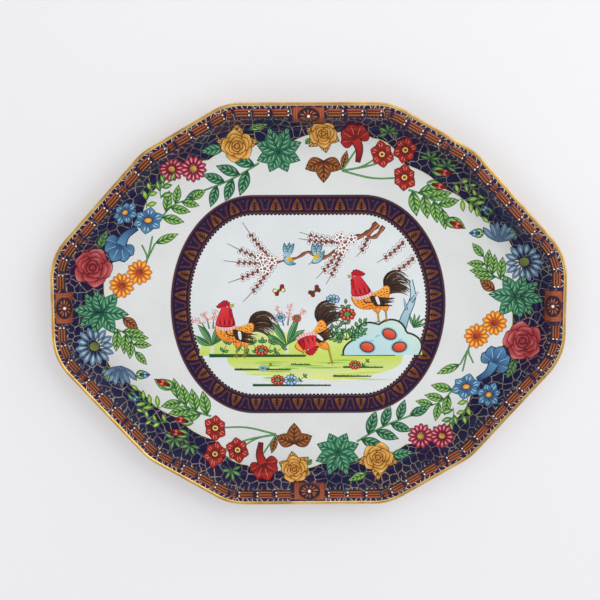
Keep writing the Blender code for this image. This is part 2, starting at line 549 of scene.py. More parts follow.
def side_trumpet(p, centre, size, heading, look):
    """A flower seen from the side: spread lobes in front of a curved tube."""
    edge, body, light, streak = look
    foot = polar(centre, heading + 165, 1.3 * size)
    for turn in (-80, 80, -40, 40, 0):
        tip = polar(centre, heading + turn, size * (1.1 - abs(turn) / 400))
        p.add(blade(centre, tip, 0.8 * size, 0, 0.6, 8, 0.5), edge)
        inner = between(centre, tip, 0.94)
        p.add(blade(centre, inner, 0.8 * size - 1.1, 0, 0.6, 8, 0.5), body, light, centre, tip)
        p.add(ribbon([between(centre, tip, 0.3), between(centre, tip, 0.8)], 0.7, 0.3), streak)
    tube = [centre, polar(centre, heading + 180, 0.6 * size), foot]
    p.add(ribbon(tube, 0.62 * size, 0.3 * size), edge)
    p.add(ribbon(tube, 0.5 * size, 0.2 * size), light, body, centre, foot)


def far_side(p):
    """Crimson daisies, yellow roses and the brown leaf, over the top of the tray."""
    leaf(p, spot(118, 0.82), spot(125, 0.86), 11, CLUSTER_LEAF)
    leaf(p, spot(109, 0.86), spot(102, 0.9), 8, GREEN_LEAF)
    daisy(p, spot(135, 0.86), 13, 13, CRIMSON_PETAL, DAISY_HEART, 8)
    daisy(p, spot(130, 0.81), 13.5, 13, CRIMSON_PETAL, DAISY_HEART, 20)
    spray(p, spot(109, 0.7), spot(132, 0.7), 6, 28, 12, DARK_LEAF, bend=2.0)
    leaf_fan(p, spot(101, 0.75), 90, 8, 310, 27, 14, CLUSTER_LEAF)
    leaf_fan(p, spot(114, 0.8), 90, 3, 150, 24, 13, YELLOW_ROSE)
    rose(p, spot(114, 0.8), 16, YELLOW_ROSE, 250)
    leaf(p, spot(91, 0.79), spot(89, 0.82), 6, GREEN_LEAF)
    leaf_fan(p, spot(85, 0.84), 250, 4, 170, 20, 13, YELLOW_ROSE)
    rose(p, spot(85, 0.84), 14, YELLOW_ROSE, 60)
    leaf_fan(p, spot(84, 0.71), 270, 3, 130, 22, 15, BROWN_LEAF)
    leaf(p, spot(76, 0.67), spot(76, 0.76), 7.5, BROWN_LEAF)


def red_flowers(p):
    root = spot(76, 0.66)
    places = ((64, 0.77, -80), (58, 0.84, 15), (53, 0.73, -94))
    for bearing, share, _ in places:
        stem(p, [root, between(root, spot(bearing, share), 0.5) - (0, 4), spot(bearing, share)], 2)
    stem(p, [root, spot(73, 0.76)], 2)
    side_trumpet(p, spot(74, 0.81), 17, 110, RED_PETAL)
    for bearing, share, heading in ((65, 0.87, 100), (50, 0.86, 60), (45, 0.87, 70)):
        leaf_fan(p, spot(bearing, share), heading, 5, 200, 13, 4, NIGHT_LEAF, leaflet)
    for bearing, share, turn in places:
        star(p, spot(bearing, share), 13.5, 6, RED_PETAL, RED_EYE, turn, 0.88)
    for start, end in (((48, 0.82), (42, 0.86)), ((46, 0.76), (40, 0.8))):
        bud(p, spot(*start), spot(*end), 8, RED_PETAL)


def right_side(p):
    """The green spray below the red flowers, the sprigs on the navy and the blue flowers."""
    spray(p, spot(49, 0.69), spot(32, 0.72), 7, 26, 12, GREEN_LEAF)
    bud(p, spot(32, 0.7), spot(26, 0.74), 8.5, RED_PETAL)
    spray(p, spot(40, 0.83), spot(33, 0.88), 5, 10, 4.6, LIGHT_LEAF, leaflet)
    spray(p, spot(35, 0.81), spot(27, 0.83), 6, 13, 5.4, LIGHT_LEAF, leaflet)
    spray(p, spot(7, 0.76), spot(15, 0.72), 6, 23, 10, GREEN_LEAF)
    bud(p, spot(22, 0.79), spot(24, 0.74), 8, BLUE_PETAL)
    bud(p, spot(26, 0.87), spot(30, 0.86), 6.5, BLUE_PETAL, NIGHT_LEAF)
    leaf(p, spot(17, 0.87), spot(21, 0.9), 7, GREEN_LEAF)
    base = spot(18, 0.81)
    fan_flower(p, base, [polar(base, 30 + 21 * k, 22) for k in range(6)], 6.5, SLATE_PETAL)
    daisy(p, spot(11, 0.855), 20.5, 14, SLATE_PETAL, (ink(92, 104, 48), ink(136, 144, 70)), 5, 0.7, 0.2)


def right_end(p):
    """Lobed leaves, orange daisies, the pink rose and the blue stars at the tray's end."""
    leaf(p, spot(4, 0.73), spot(8, 0.67), 11, BROWN_LEAF)
    leaf_fan(p, spot(2, 0.83), -10, 5, 200, 24, 12, CLUSTER_LEAF)
    leaf_fan(p, spot(2, 0.81), 175, 5, 220, 27, 14, CLUSTER_LEAF)
    daisy(p, spot(-6, 0.73), 13, 12, ORANGE_PETAL, ORANGE_HEART, 12)
    for bearing, share in ((-22, 0.69), (-20, 0.73), (-24, 0.72)):
        stem(p, [spot(-11, 0.67), spot(-16, 0.67), spot(bearing, share)], 2)
    daisy(p, spot(-11, 0.67), 13, 12, ORANGE_PETAL, ORANGE_HEART)
    leaf(p, spot(-22, 0.69), spot(-29, 0.64), 8.5, GREEN_LEAF)
    leaf(p, spot(-15, 0.86), spot(-21, 0.89), 9, NIGHT_LEAF)
    rose(p, spot(-10, 0.85), 20, PINK_ROSE, 30)
    side_trumpet(p, spot(-18, 0.8), 18, 60, BLUE_PETAL)
    star(p, spot(-28, 0.78), 16, 6, BLUE_PETAL, BLUE_EYE, 20, 0.82, 95, 0.84, 0.0)
    star(p, spot(-27, 0.88), 13.5, 7, BLUE_PETAL, BLUE_EYE, 10, 0.9, 150, 0.8, 0.1)
    spray(p, spot(-31, 0.82), spot(-40, 0.85), 5, 11, 5.4, LIGHT_LEAF, leaflet)
    spray(p, spot(-30, 0.74), spot(-42, 0.7), 5, 23, 10, GREEN_LEAF)
    spray(p, spot(-36, 0.8), spot(-42, 0.82), 4, 13, 6, GREEN_LEAF, leaflet)


def wreath(p):
    first = len(p.shapes)
    right_side(p)
    right_end(p)
    far_side(p)
    red_flowers(p)
    p.repeat_half_turn(first)


def navy_ground(p):
    """The white floor over the navy, its edge scalloped and outlined in pale gold."""
    bearings = np.arange(0, 360, 1.5)
    waves = -0.03 * np.cos(np.radians(6 * (bearings - 48)))
    scallops = 0.02 * np.abs(np.sin(np.radians(13 * bearings)))
    shares = NAVY_SHARE + waves + scallops
    for inset, colour in ((0, ink(226, 214, 150)), (0.003, WHITE)):
        outline = [spot(bearing, share - inset) for bearing, share in zip(bearings, shares)]
        p.add(np.array(outline), colour)


# ---------------------------------------------------------------- the garden picture
TWIG = (ink(84, 46, 34), ink(150, 104, 72))
BARK = (ink(58, 24, 16), ink(136, 70, 44), ink(196, 132, 98))
LIME = ink(198, 218, 98)
LIME_DEEP = ink(142, 192, 72)
GRASS = ink(36, 96, 46)
GRASS_DARK = ink(22, 62, 36)
FEATHER_DARK = ink(38, 24, 18)
FEATHER_MID = ink(92, 64, 48)
FEATHER_PALE = ink(168, 142, 112)
COCK_ORANGE = (ink(176, 84, 22), ink(232, 132, 36), ink(246, 176, 72))
COCK_RED = (ink(104, 10, 22), ink(186, 20, 36), ink(218, 54, 58))
STONE = (ink(40, 52, 40), ink(186, 218, 222), ink(206, 226, 214))
POPPY = (ink(76, 12, 14), ink(150, 26, 24), ink(206, 70, 50), ink(240, 160, 130))
CORNFLOWER = (ink(34, 62, 132), ink(70, 118, 198), ink(156, 194, 232), ink(214, 230, 244))
STRAP_LEAF = (ink(18, 54, 34), ink(36, 100, 56), ink(76, 142, 78), ink(124, 182, 112))


def twig(p, start, end, bend=0.0, bare=0.14, pitch=5.4):
    """A thin twig with small round buds in pairs, bare towards its tip."""
    start, end = np.array(start), np.array(end)
    length = np.linalg.norm(end - start)
    line = [spine_point(start, end, bend, share) for share in (0, 0.33, 0.66, 1)]
    along = (end - start) / length
    across = np.array((-along[1], along[0]))
    count = int(length * (1 - bare) / pitch)
    for index in range(count):
        at = spine_point(start, end, bend, (index + 0.4) * pitch / length)
        size = 4.4 - 0.9 * index / count
        for side in (-1, 1):
            place = at + side * across * 2.2 + 0.8 * side * along
            p.add(ellipse(place, size + 0.5, size + 0.5, steps=10), ink(98, 84, 88))
            p.add(ellipse(place, size - 0.5, size - 0.5, steps=10), ink(240, 236, 234))
            p.add(ellipse(between(at, place, 0.6), 2.3, 2.5, steps=8), ink(132, 32, 28))
    p.add(ribbon(line, 1.7, 0.5), TWIG[0])
    p.add(ribbon(line, 0.5, 0.1), TWIG[1])


def blossom(p, centre, size, turn):
    """Five round white petals with red marks round a green eye."""
    for layer in (0.55, 0.0):
        for index in range(5):
            at = polar(centre, turn + 72 * index, size * 0.58)
            wide = size * 0.78 + layer
            colour = ink(104, 76, 80) if layer else ink(244, 240, 240)
            p.add(ellipse(at, wide, wide * 0.92, turn + 72 * index, 10), colour)
    for index in range(5):
        angle = turn + 72 * index
        mark = blade(polar(centre, angle, size * 0.36), polar(centre, angle, size * 0.8), 1.9, steps=4)
        p.add(mark, ink(196, 48, 44), ink(160, 34, 36), centre, polar(centre, angle, size * 0.7))
    p.add(ellipse(centre, size * 0.46, size * 0.52, turn, 8), ink(38, 84, 52))
    p.add(ellipse(centre, size * 0.24, size * 0.28, turn, 6), ink(104, 146, 96))


def branch(p, points, width, end_width):
    """A knotty brown branch, darker along its underside."""
    line = smooth(points, 4)
    widths = np.linspace(width, end_width, len(line))
    knots = 1 + 0.28 * np.sin(np.arange(len(line)) * 1.9)
    across = sides(line) * (widths * knots)[:, None] / 2
    p.add(np.r_[line + across, (line - across)[::-1]], BARK[0])
    body = across * 0.72
    p.add(np.r_[line + body, (line - body)[::-1]], BARK[1])
    lit = across * 0.2
    p.add(np.r_[line + across * 0.5, (line + lit)[::-1]], BARK[2])


def songbird(p, head, tail, bend, wing_root, wing_tips, belly):
    """A small blue bird with a yellow belly and raised, barred wings."""
    edge, dark = ink(34, 50, 58), ink(28, 34, 42)
    blue, pale = ink(84, 150, 176), ink(174, 210, 220)
    for tip in wing_tips:
        p.add(blade(wing_root, tip, 5.2, 0.8), edge)
        inner = between(wing_root, tip, 0.93)
        p.add(blade(wing_root, inner, 4.0, 0.8), blue, pale, tip, wing_root)
        for share in (0.42, 0.58, 0.74, 0.88):
            at = between(wing_root, tip, share)
            p.add(blade(at + (-1.3, 0.3), at + (1.5, -0.3), 0.9, steps=3), dark)
    p.add(blade(head, tail, 7.4, bend, 0.42), edge)
    inner_head, inner_tail = between(head, tail, 0.05), between(head, tail, 0.93)
    p.add(blade(inner_head, inner_tail, 6.0, bend, 0.42), blue, pale, tail, head)
    p.add(blade(*belly, 4.6, 0.6, 0.5), ink(232, 206, 62), ink(190, 146, 40), *belly)
    for share in (0.6, 0.75, 0.9):
        at = spine_point(head, tail, bend, share)
        p.add(blade(at + (-1.2, -0.8), at + (1.2, 0.8), 0.7, steps=3), dark)
    p.add(ellipse(spine_point(head, tail, bend, 0.12), 1.2, 1.2, steps=6), dark)
    p.add(blade(head, between(head, tail, -0.12), 1.1, 0, steps=3), dark)


def insect(p, centre, turn, red):
    yellow = YELLOW_ROSE[3]
    wings = ((155, 7.0, yellow), (25, 7.4, POPPY[1]), (-25, 6.4, yellow), (205, 6.6, POPPY[1]))
    for angle, reach, colour in wings:
        angle, colour = angle + turn, POPPY[1] if red else colour
        p.add(blade(centre, polar(centre, angle, reach), 4.6, 0, 0.68, 6, 0.8), ink(60, 34, 28))
        p.add(blade(centre, polar(centre, angle, reach - 0.6), 3.2, 0, 0.68, 5, 0.8), colour)
    p.add(blade(polar(centre, turn, -3.6), polar(centre, turn, 3.6), 3.0, steps=5), ink(30, 66, 36))
    p.add(ellipse(centre, 1.8, 1.4, turn, 6), ink(98, 150, 78))


class Figure:
    """Places a small drawing, made round its own origin, turned and moved onto the sheet."""

    def __init__(self, picture, centre, turn=0.0, scale=1.0):
        self.picture = picture
        self.centre = np.array(centre, float)
        angle = math.radians(turn)
        self.turn = scale * np.array(
            ((math.cos(angle), math.sin(angle)), (-math.sin(angle), math.cos(angle)))
        )

    def __call__(self, points):
        return np.asarray(points, float) @ self.turn + self.centre

    def add(self, outline, colour, end_colour=None, start=(0, 0), end=(1, 0)):
        self.picture.add(self(outline), colour, end_colour, self(start), self(end))


def plumes(bird, roots, headings, lengths, curls, dice, count=26):
    """Long tail feathers, each an arc, laid side by side from the first root to the last."""
    for index in range(count):
        share = index / (count - 1)
        heading = between(headings[0], headings[1], share) + dice.uniform(-5, 5)
        length = between(lengths[0], lengths[1], share) * dice.uniform(0.86, 1.05)
        curl = between(curls[0], curls[1], share)
        line = [between(roots[0], roots[1], share)]
        for step in range(5):
            line.append(polar(line[-1], heading + curl * (step + 0.5) / 5, length / 5))
        look = (FEATHER_DARK, ink(60, 42, 32), ink(30, 20, 16))[index % 3]
        bird.add(ribbon(line, 3.8, 0.3, 2), look)
        if index % 2:
            bird.add(ribbon(line[1:], 0.8, 0.2, 2), FEATHER_MID)
        if index % 4 == 2:
            bird.add(ribbon(line[1:5], 0.6, 0.2, 2), FEATHER_PALE)


def cockerel_body(bird, outline, dice):
    edge, deep, light = COCK_ORANGE
    body = smooth(outline, 4, closed=True)
    middle, low, high = body.mean(axis=0), body.min(axis=0), body.max(axis=0)
    bird.add(body, edge)
    inner = (body - middle) * 0.95 + middle
    bird.add(inner, deep, light, (middle[0], low[1]), (middle[0], high[1]))
    for x in np.arange(low[0], high[0], 2.9):
        for y in np.arange(low[1], high[1], 2.5):
            spot = np.array((x + dice.uniform(-0.8, 0.8), y + dice.uniform(-0.7, 0.7)))
            if winding(spot[None], (body - middle) * 0.84 + middle)[0]:
                bird.add(blade(spot, spot + (2.0, -1.3), 1.0, steps=3), ink(96, 44, 16))


def cockerel_wing(bird, roots, tips, hook, dice, count=9):
    """Dark flight feathers side by side, a pale patch near their roots and a curved shoulder."""
    for index in range(count):
        share = index / (count - 1)
        root = between(roots[0], roots[1], share)
        tip = between(tips[0], tips[1], share) + dice.uniform(-1.2, 1.2)
        middle = between(root, tip, 0.5) + (0, -0.8)
        bird.add(ribbon([root, middle, tip], 4.0, 0.3, 3), (FEATHER_DARK, ink(66, 44, 32))[index % 2])
        bird.add(blade(between(root, tip, 0.5), between(root, tip, 0.9), 0.6, steps=3), FEATHER_MID)
    share = 0.2
    patch = [between(roots[0], tips[0], share), between(roots[0], tips[0], share + 0.12),
             between(roots[1], tips[1], share + 0.1), between(roots[1], tips[1], share - 0.04)]
    bird.add(smooth(patch, 3, closed=True), WHITE)
    bird.add(ribbon(hook, 1.5, 1.0), FEATHER_DARK)


def cockerel_neck(bird, head, beak, girth=4.9):
    """The red neck and its pale fringe, the head, comb, wattle, eye and beak."""
    edge, red, bright = COCK_RED
    head = np.array(head, float)
    base_front, base_back = np.array((-18.0, 6.6)), np.array((0.8, 6.4))
    for index in range(15):
        share = index / 14
        root = between(base_front, base_back, share) - (0, 2.6 * math.sin(math.pi * share))
        fringe = blade(root + (0, 2.0), root + (0.5, -3.4 - (index % 3) * 0.5), 2.0, steps=4)
        bird.add(fringe, ink(238, 202, 200) if index % 2 else ink(220, 152, 156))
    front, back = head + (-girth, -1.0), head + (girth, -1.0)
    neck = smooth(
        [base_front, between(base_front, front, 0.5) + (-0.8, 0), front, head + (-0.78 * girth, 3.2),
         head + (0, 4.6), head + (0.78 * girth, 3.2), back, between(base_back, back, 0.5) + (0.8, 0),
         base_back, between(base_front, base_back, 0.5) - (0, 2.2)], 4, closed=True,
    )
    bird.add(neck, edge)
    middle = neck.mean(axis=0)
    bird.add((neck - middle) * 0.93 + middle, red, bright, base_back, head + (-3, 0))
    for index in range(8):
        root = between(base_front, base_back, 0.08 + 0.12 * index) + (0, 0.4)
        shade = edge if index % 2 else bright
        bird.add(blade(root + (0, 6.5), root + (0.3, -1.0), 1.3, 0.3, 0.6, 4), shade)
    comb = ((4.0, 5.6), (1.4, 7.6), (-1.8, 7.8), (-4.8, 6.2), (-7.6, 3.8), (-9.8, 1.2))
    for width, reach, colour in ((4.0, 1.0, edge), (2.9, 0.9, red)):
        for across, up in comb:
            tip = head + reach * np.array((beak * across, up))
            bird.add(blade(head + (-beak * 0.8, 1.0), tip, width, 0, 0.66, 5), colour)
    for drop, size in ((2.8, 3.4), (6.0, 4.0), (9.2, 3.0)):
        lobe = head + (beak * (4.6 + 0.06 * drop), -drop)
        bird.add(ellipse(lobe, size, size + 0.8, steps=9), edge)
        bird.add(ellipse(lobe, size - 1.0, size, steps=8), red)
    for lift in (0.6, -0.5):
        start = head + (beak * 3.8, 1.2 + lift)
        bird.add(blade(start, start + (beak * 5.0, 1.4 + lift), 2.2, 0, 0.3, 5), ink(70, 56, 26))
        bird.add(blade(start, start + (beak * 4.2, 1.2 + lift), 1.3, 0, 0.3, 4), ink(226, 196, 84))
    bird.add(ellipse(head + (beak * 1.0, 1.0), 2.9, 2.6, steps=9), ink(40, 26, 44))
    bird.add(ellipse(head + (beak * 1.2, 0.9), 1.5, 1.4, steps=7), ink(206, 214, 232))


def cockerel_leg(p, hip, knee, foot):
    """A feathered thigh, a thin shank and three toes, placed on the sheet."""
    edge, deep, light = COCK_ORANGE
    foot = np.array(foot, float)
    p.add(blade(hip, knee, 8.6, 0.6, 0.36, 7, 0.5), edge)
    p.add(blade(hip, between(hip, knee, 0.94), 7.2, 0.6, 0.36, 7, 0.5), deep, light, knee, hip)
    for share in (0.3, 0.5, 0.7):
        spot = between(hip, knee, share)
        p.add(blade(spot, spot + (-0.8, -2.2), 0.7, steps=3), ink(150, 74, 24))
    p.add(ribbon([between(hip, knee, 0.9), foot], 1.9, 1.6), ink(66, 52, 24))
    p.add(ribbon([between(hip, knee, 0.9), foot], 0.7, 0.6), ink(218, 178, 80))
    for reach in ((-4.2, -1.8), (0.6, -3.0), (3.2, -1.2)):
        p.add(ribbon([foot, foot + reach], 1.3, 0.6), ink(66, 52, 24))
        p.add(ribbon([foot, foot + np.array(reach) * 0.8], 0.45, 0.2), ink(218, 178, 80))


def small_flower(p, centre, size, look, squash=0.8):
    """A ring of round petals with light rims round a green eye."""
    edge, body, light, streak = look
    for index in range(9):
        angle = 40 * index
        at = np.array(centre) + (polar((0, 0), angle, size * 0.68) * (1, squash))
        p.add(ellipse(at, size * 0.66, size * 0.6, angle, 9), edge)
        p.add(ellipse(at, size * 0.48, size * 0.42, angle, 8), body, light, centre, at)
        p.add(ellipse(at + (0, size * 0.08), size * 0.16, size * 0.14, angle, 6), streak)
    p.add(ellipse(centre, size * 1.0, size * 0.8 * squash, 0, 12), GRASS_DARK)
    p.add(ellipse(centre, size * 0.76, size * 0.56 * squash, 0, 10), ink(64, 128, 66))
    for index in range(5):
        dot = polar(centre, 72 * index, size * 0.2)
        p.add(ellipse(dot, size * 0.16, size * 0.12, steps=5), ink(150, 196, 110))


def sprig(p, root, tip, pairs, size, look=STRAP_LEAF, bend=0.0):
    """A small stem with leaves in pairs and one at its end."""
    root, tip = np.array(root), np.array(tip)
    length = np.linalg.norm(tip - root)
    along = (tip - root) / length
    across = np.array((-along[1], along[0]))
    line = [spine_point(root, tip, bend, share) for share in (0, 0.5, 1)]
    p.add(ribbon(line, 0.8, 0.4), look[0])
    for index in range(pairs):
        at = spine_point(root, tip, bend, 0.22 + 0.66 * index / max(pairs - 1, 1))
        for side in (-1, 1):
            leaflet(p, at, at + side * across * size * 0.85 + along * size * 0.6, size * 0.6, look)
    leaflet(p, line[-1], line[-1] + along * size * 0.9, size * 0.55, look)


def feathery_spray(p, points, dice):
    """A curved stem with many tiny pink flowers along its end."""
    line = smooth(points, 7)
    p.add(ribbon(points, 1.5, 0.5), STRAP_LEAF[0])
    p.add(ribbon(points, 0.7, 0.2), STRAP_LEAF[2])
    for at in line[len(line) // 3:]:
        for _ in range(4):
            out = at + (dice.uniform(-3.4, 3.4), dice.uniform(-2.6, 3.4))
            p.add(ribbon([at, out], 0.28, 0.2), ink(214, 150, 144))
            p.add(ellipse(out, 1.0, 0.8, dice.uniform(0, 90), 6), ink(190, 72, 70))
            p.add(ellipse(out + (0.8, 0.5), 1.0, 0.8, 0, 6), ink(240, 220, 214))


def strap_leaf(p, base, tip, width, bend):
    """A long soft leaf with streaks along it and a pale midrib."""
    edge, body, light, streak = STRAP_LEAF
    p.add(blade(base, tip, width, bend, 0.52, 10), edge)
    for side, first, last in ((-1, body, light), (1, light, ink(134, 184, 128))):
        half = half_blade(between(base, tip, 0.03), between(base, tip, 0.95), width - 1.1, bend, 0.52, side)
        p.add(half, first, last, base, tip)
    across = np.array((tip[1] - base[1], base[0] - tip[0])) / math.dist(base, tip)
    for offset, colour in ((0.24, edge), (-0.24, edge), (0.0, streak)):
        start = spine_point(base, tip, bend, 0.16) + across * offset * width * 0.5
        end = spine_point(base, tip, bend, 0.86) + across * offset * width * 0.5
        p.add(blade(start, end, 0.7, bend * 0.7, 0.5, 6), colour)


def strap_plant(p, base, tips):
    """Broad leaves that fan out from one pale foot."""
    base = np.array(base, float)
    p.add(ribbon([base + (0, -8), base], 4.2, 3.0), ink(214, 222, 206))
    for tip, width, bend in tips:
        strap_leaf(p, base, tip, width, bend)


def grass_line(p, start, end, width, dice):
    """A dark strip of turf with short blades standing out of it."""
    start, end = np.array(start), np.array(end)
    p.add(ribbon([start, between(start, end, 0.5), end], width, width * 0.6), GRASS)
    p.add(ribbon([start + (1, -0.4), end + (-1, -0.4)], width * 0.4, width * 0.2), GRASS_DARK)
    count = int(np.linalg.norm(end - start) / 2.2)
    for index in range(count):
        at = between(start, end, (index + dice.random()) / count)
        lean = dice.uniform(-1.4, 1.4)
        p.add(blade(at, at + (lean, dice.uniform(0.9, 1.8)), 0.8, steps=3), GRASS)


def streaks(p, low, high, count, colours, dice):
    """Flat brush strokes scattered over a box."""
    for index in range(count):
        x, y = dice.uniform(low[0], high[0]), dice.uniform(low[1], high[1])
        half = dice.uniform(7, 22)
        stroke = [(x - half, y), (x, y + dice.uniform(-0.4, 0.4)), (x + half, y)]
        p.add(blade(stroke[0], stroke[2], dice.uniform(0.7, 1.9), steps=6), colours[index % len(colours)])


BODY = [(-18, 7), (-17, -4), (-8, -10), (6, -11), (15, -6), (20, 4), (17, 9), (4, 5)]
WING_HOOK = [(-8, 3), (-8, 0), (-6, -3), (0, -4)]
TURF = -51
GARDEN_HALF = 108


def blossom_branch(p):
    """A knotty branch from the upper right, with fans of budding twigs and small blossoms."""
    fork = (36, 62)
    branch(p, [(68, 80), (58, 70), (46, 66), fork], 6.4, 3.8)
    branch(p, [(74, 77), (66, 67), (56, 66)], 4.2, 3.4)
    branch(p, [fork, (26, 52), (12, 46), (0, 52), (-12, 46), (-30, 42), (-46, 34)], 4.4, 2.0)
    fans = (
        (fork, (168, 176, 232, 246), 46), ((-34, 42), (128, 158, 178, 204, 232), 50),
        ((94, 62), (218,), 34), ((104, 46), (214,), 32), ((58, 66), (240,), 22),
    )
    for root, headings, length in fans:
        for heading in headings:
            twig(p, root, polar(root, heading, length), 1.5)
    for centre in (fork, (-42, 42)):
        for turn in (20, 140, 260):
            blossom(p, polar(centre, turn, 6.5), 6.4, turn)


def standing_legs(bird):
    """Hip, knee and foot of each leg, from the bird's own frame to the sheet."""
    return [bird([(x, -8), (x + 1, -17), (x, -24)]) for x in (2, 10)]


def cockerel(p, centre, turn, beak, head, dice, legs=None):
    """One bird; head is its place in the bird's own frame, or None when it is drawn apart."""
    bird = Figure(p, centre, turn)
    for leg in legs or standing_legs(bird):
        cockerel_leg(p, *leg)
    plumes(bird, ((16, 8), (17, 1)), (96.0, 8.0), (36.0, 20.0), (-170.0, -55.0), dice)
    cockerel_body(bird, BODY, dice)
    cockerel_wing(bird, ((-1, 1), (2, -6)), ((23, -4), (19, -12)), WING_HOOK, dice)
    if head is not None:
        cockerel_neck(bird, head, beak)


def cockerels(p, dice):
    cockerel(p, (-74, -27), 0, 1, (-8, 24), dice)
    cockerel(p, (62, 6), 13, -1, (-10, 24), dice)
    pecking = np.array((4, -34))
    leg = [pecking + step for step in ((6, -4), (17, -12), (19, -24))]
    cockerel(p, pecking, 42, 1, None, dice, [leg])
    cockerel_neck(Figure(p, pecking - (16, -4), 196), (-8, 17), 1, 6.5)


def ground(p, dice):
    """A green bank with brush strokes over it, and strips of turf."""
    haze, glow = ink(214, 226, 150), ink(226, 232, 186)
    for middle, half, rise in ((-43, 66, 24), (63, 50, 26)):
        arch = [(middle + half * math.cos(a), TURF + rise * math.sin(a) ** 0.6)
                for a in np.linspace(0, math.pi, 14)]
        p.add(np.array(arch), LIME, haze, (0, TURF), (0, TURF + rise))
    bank = [(6 + 88 * math.cos(a), TURF - 24 * abs(math.sin(a)) ** 0.7)
            for a in np.linspace(math.pi, 2 * math.pi, 16)]
    p.add(np.array(bank), LIME, glow, (0, TURF - 4), (0, TURF - 32))
    streaks(p, (-50, -76), (60, -54), 34, (LIME_DEEP, LIME, ink(222, 230, 130)), dice)
    streaks(p, (10, -78), (66, -66), 10, (ink(228, 226, 120), LIME), dice)
    for x, y, length, width in (
        (-GARDEN_HALF + 9, TURF, 96, 3.6), (-74, -65, 56, 2.2), (34, -63, 40, 2.0),
        (24, -72, 38, 2.0), (-56, -81, 78, 2.6), (-18, -60, 20, 1.3), (32, TURF, 54, 1.2),
    ):
        grass_line(p, (x, y), (x + length, y - 0.5), width, dice)


def rockery(p):
    """A pale worn stone with a scalloped outline and three red hollows."""
    edge, blue, pale = STONE
    stump(p)
    middle = np.array((74, TURF))
    turns = np.linspace(0, math.pi, 49)
    reach = 0.93 + 0.18 * np.abs(np.sin(3.5 * turns + 0.3))
    rock = middle + np.c_[36 * reach * np.cos(turns), 33 * reach * np.sin(turns)]
    p.add(rock, blue, pale, middle, middle + (20, 34))
    for angle in range(20, 170, 24):
        start = polar(middle, angle, 19)
        p.add(blade(start, start + (6, 2), 1.9, 1.2, steps=5), ink(140, 192, 208))
    for step, turn in (((6, 21), -25), ((-16, 8), -15), ((16, 8), 8)):
        centre = middle + step
        for size, colour in ((18, ink(150, 196, 206)), (15.6, ink(96, 140, 150)), (14.6, edge)):
            p.add(ellipse(centre, size, size * 0.74, turn, 16), colour)
        p.add(ellipse(centre, 12.6, 8.8, turn, 14), ink(196, 58, 40), ink(228, 104, 72),
              polar(centre, 250, 5), polar(centre, 70, 5))
    p.add(ribbon(rock, 1.9, 1.9, 1), edge)
    for index in range(5):
        leaflet(p, (104, -24), polar((104, -24), 20 + 22 * index, 15), 2.8, STRAP_LEAF)


def stump(p):
    edge, blue, pale = ink(44, 62, 78), ink(132, 176, 194), ink(196, 218, 226)
    trunk = [(90, -30), (96, -12), (103, 6), (101, 24)]
    for line, width in ((trunk, 11), (((101, 2), (108, 12)), 4.6), (((97, -6), (94, 6)), 3.4)):
        p.add(ribbon(line, width, 0.35 * width), edge)
        p.add(ribbon(line, width - 1.8, 0.2 * width), blue, pale, line[0], line[-1])


def undergrowth(p, dice):
    """The two broad-leaved plants with their pink sprays, and the low sprigs."""
    for x, size in ((-96, 0.85), (-22, 1.0)):
        foot = np.array((x, TURF + 10.0))
        for lean in (-34, -14, 6, 26):
            middle = polar(foot, 90 - lean * 0.6, 20 * size)
            line = [middle, polar(middle, 90 - lean, 10), polar(middle, 90 - 1.6 * lean, 20 * size)]
            feathery_spray(p, line, dice)
        strap_plant(p, foot, [
            (polar(foot, 90 - lean, reach * size), 7.0, bend)
            for lean, reach, bend in ((-58, 24, 1.5), (-34, 30, -1.5), (50, 24, 1.5), (24, 32, 0.8))
        ])
    small_flower(p, (-28, -13), 5.4, CORNFLOWER)
    small_flower(p, (-12, -14), 4.8, POPPY)
    for x, heading in ((-86, 68), (-58, 150), (-50, 115), (-46, 90), (-42, 65), (-36, 35)):
        sprig(p, (x, TURF + 1), polar((x, TURF + 1), heading, 13), 2, 5.6)
    small_flower(p, (-47, TURF + 5), 7.2, POPPY, 0.7)


def tall_flowers(p):
    """The red and blue flowers on leafy stems beside the stone."""
    foot = np.array((38.0, -36.0))
    for heading, length in ((92, 36), (142, 28), (48, 24), (30, 18), (160, 20), (118, 34)):
        sprig(p, foot, polar(foot, heading, length), 4, 6.4, bend=1.0)
    small_flower(p, (38, -10), 8.8, POPPY, 0.72)
    small_flower(p, (24, 5), 7.2, CORNFLOWER, 0.55)


def garden(p, dice):
    """The whole picture inside the frame."""
    ground(p, dice)
    blossom_branch(p)
    for head, tail, shoulder in (((-24, 48), (-12, 40), (-20, 46)), ((2, 41), (16, 54), (8, 46))):
        tips = [polar(shoulder, heading, 16) for heading in (84, 68, 104)]
        belly = (between(head, tail, 0.15), between(head, tail, 0.7))
        songbird(p, head, tail, -2.0, shoulder, tips, belly)
    insect(p, (-29, 14), 30, False)
    insect(p, (6, 13), 40, True)
    undergrowth(p, dice)
    rockery(p)
    tall_flowers(p)
    cockerels(p, dice)
    for x, y, size, look in (
        (46, -61, 6.2, POPPY), (-46, -64, 4.0, CORNFLOWER),
        (-31, -76, 7.0, POPPY), (-18, -76, 7.0, CORNFLOWER),
    ):
        small_flower(p, (x, y), size, look, 0.7)
        sprig(p, (x + size, y - 2), (x + 2 * size, y + 4), 2, 0.5 * size)


# ---------------------------------------------------------------- the decorated ledge
RIM_REFERENCE = flat_radius(10.0)
BUNDLE_LENGTH = 16.0
SPACER_LENGTH = 6.0
WHEEL_LENGTH = 30.6
GROUPS_PER_QUARTER = 5
BUNDLES_PER_GROUP = 3


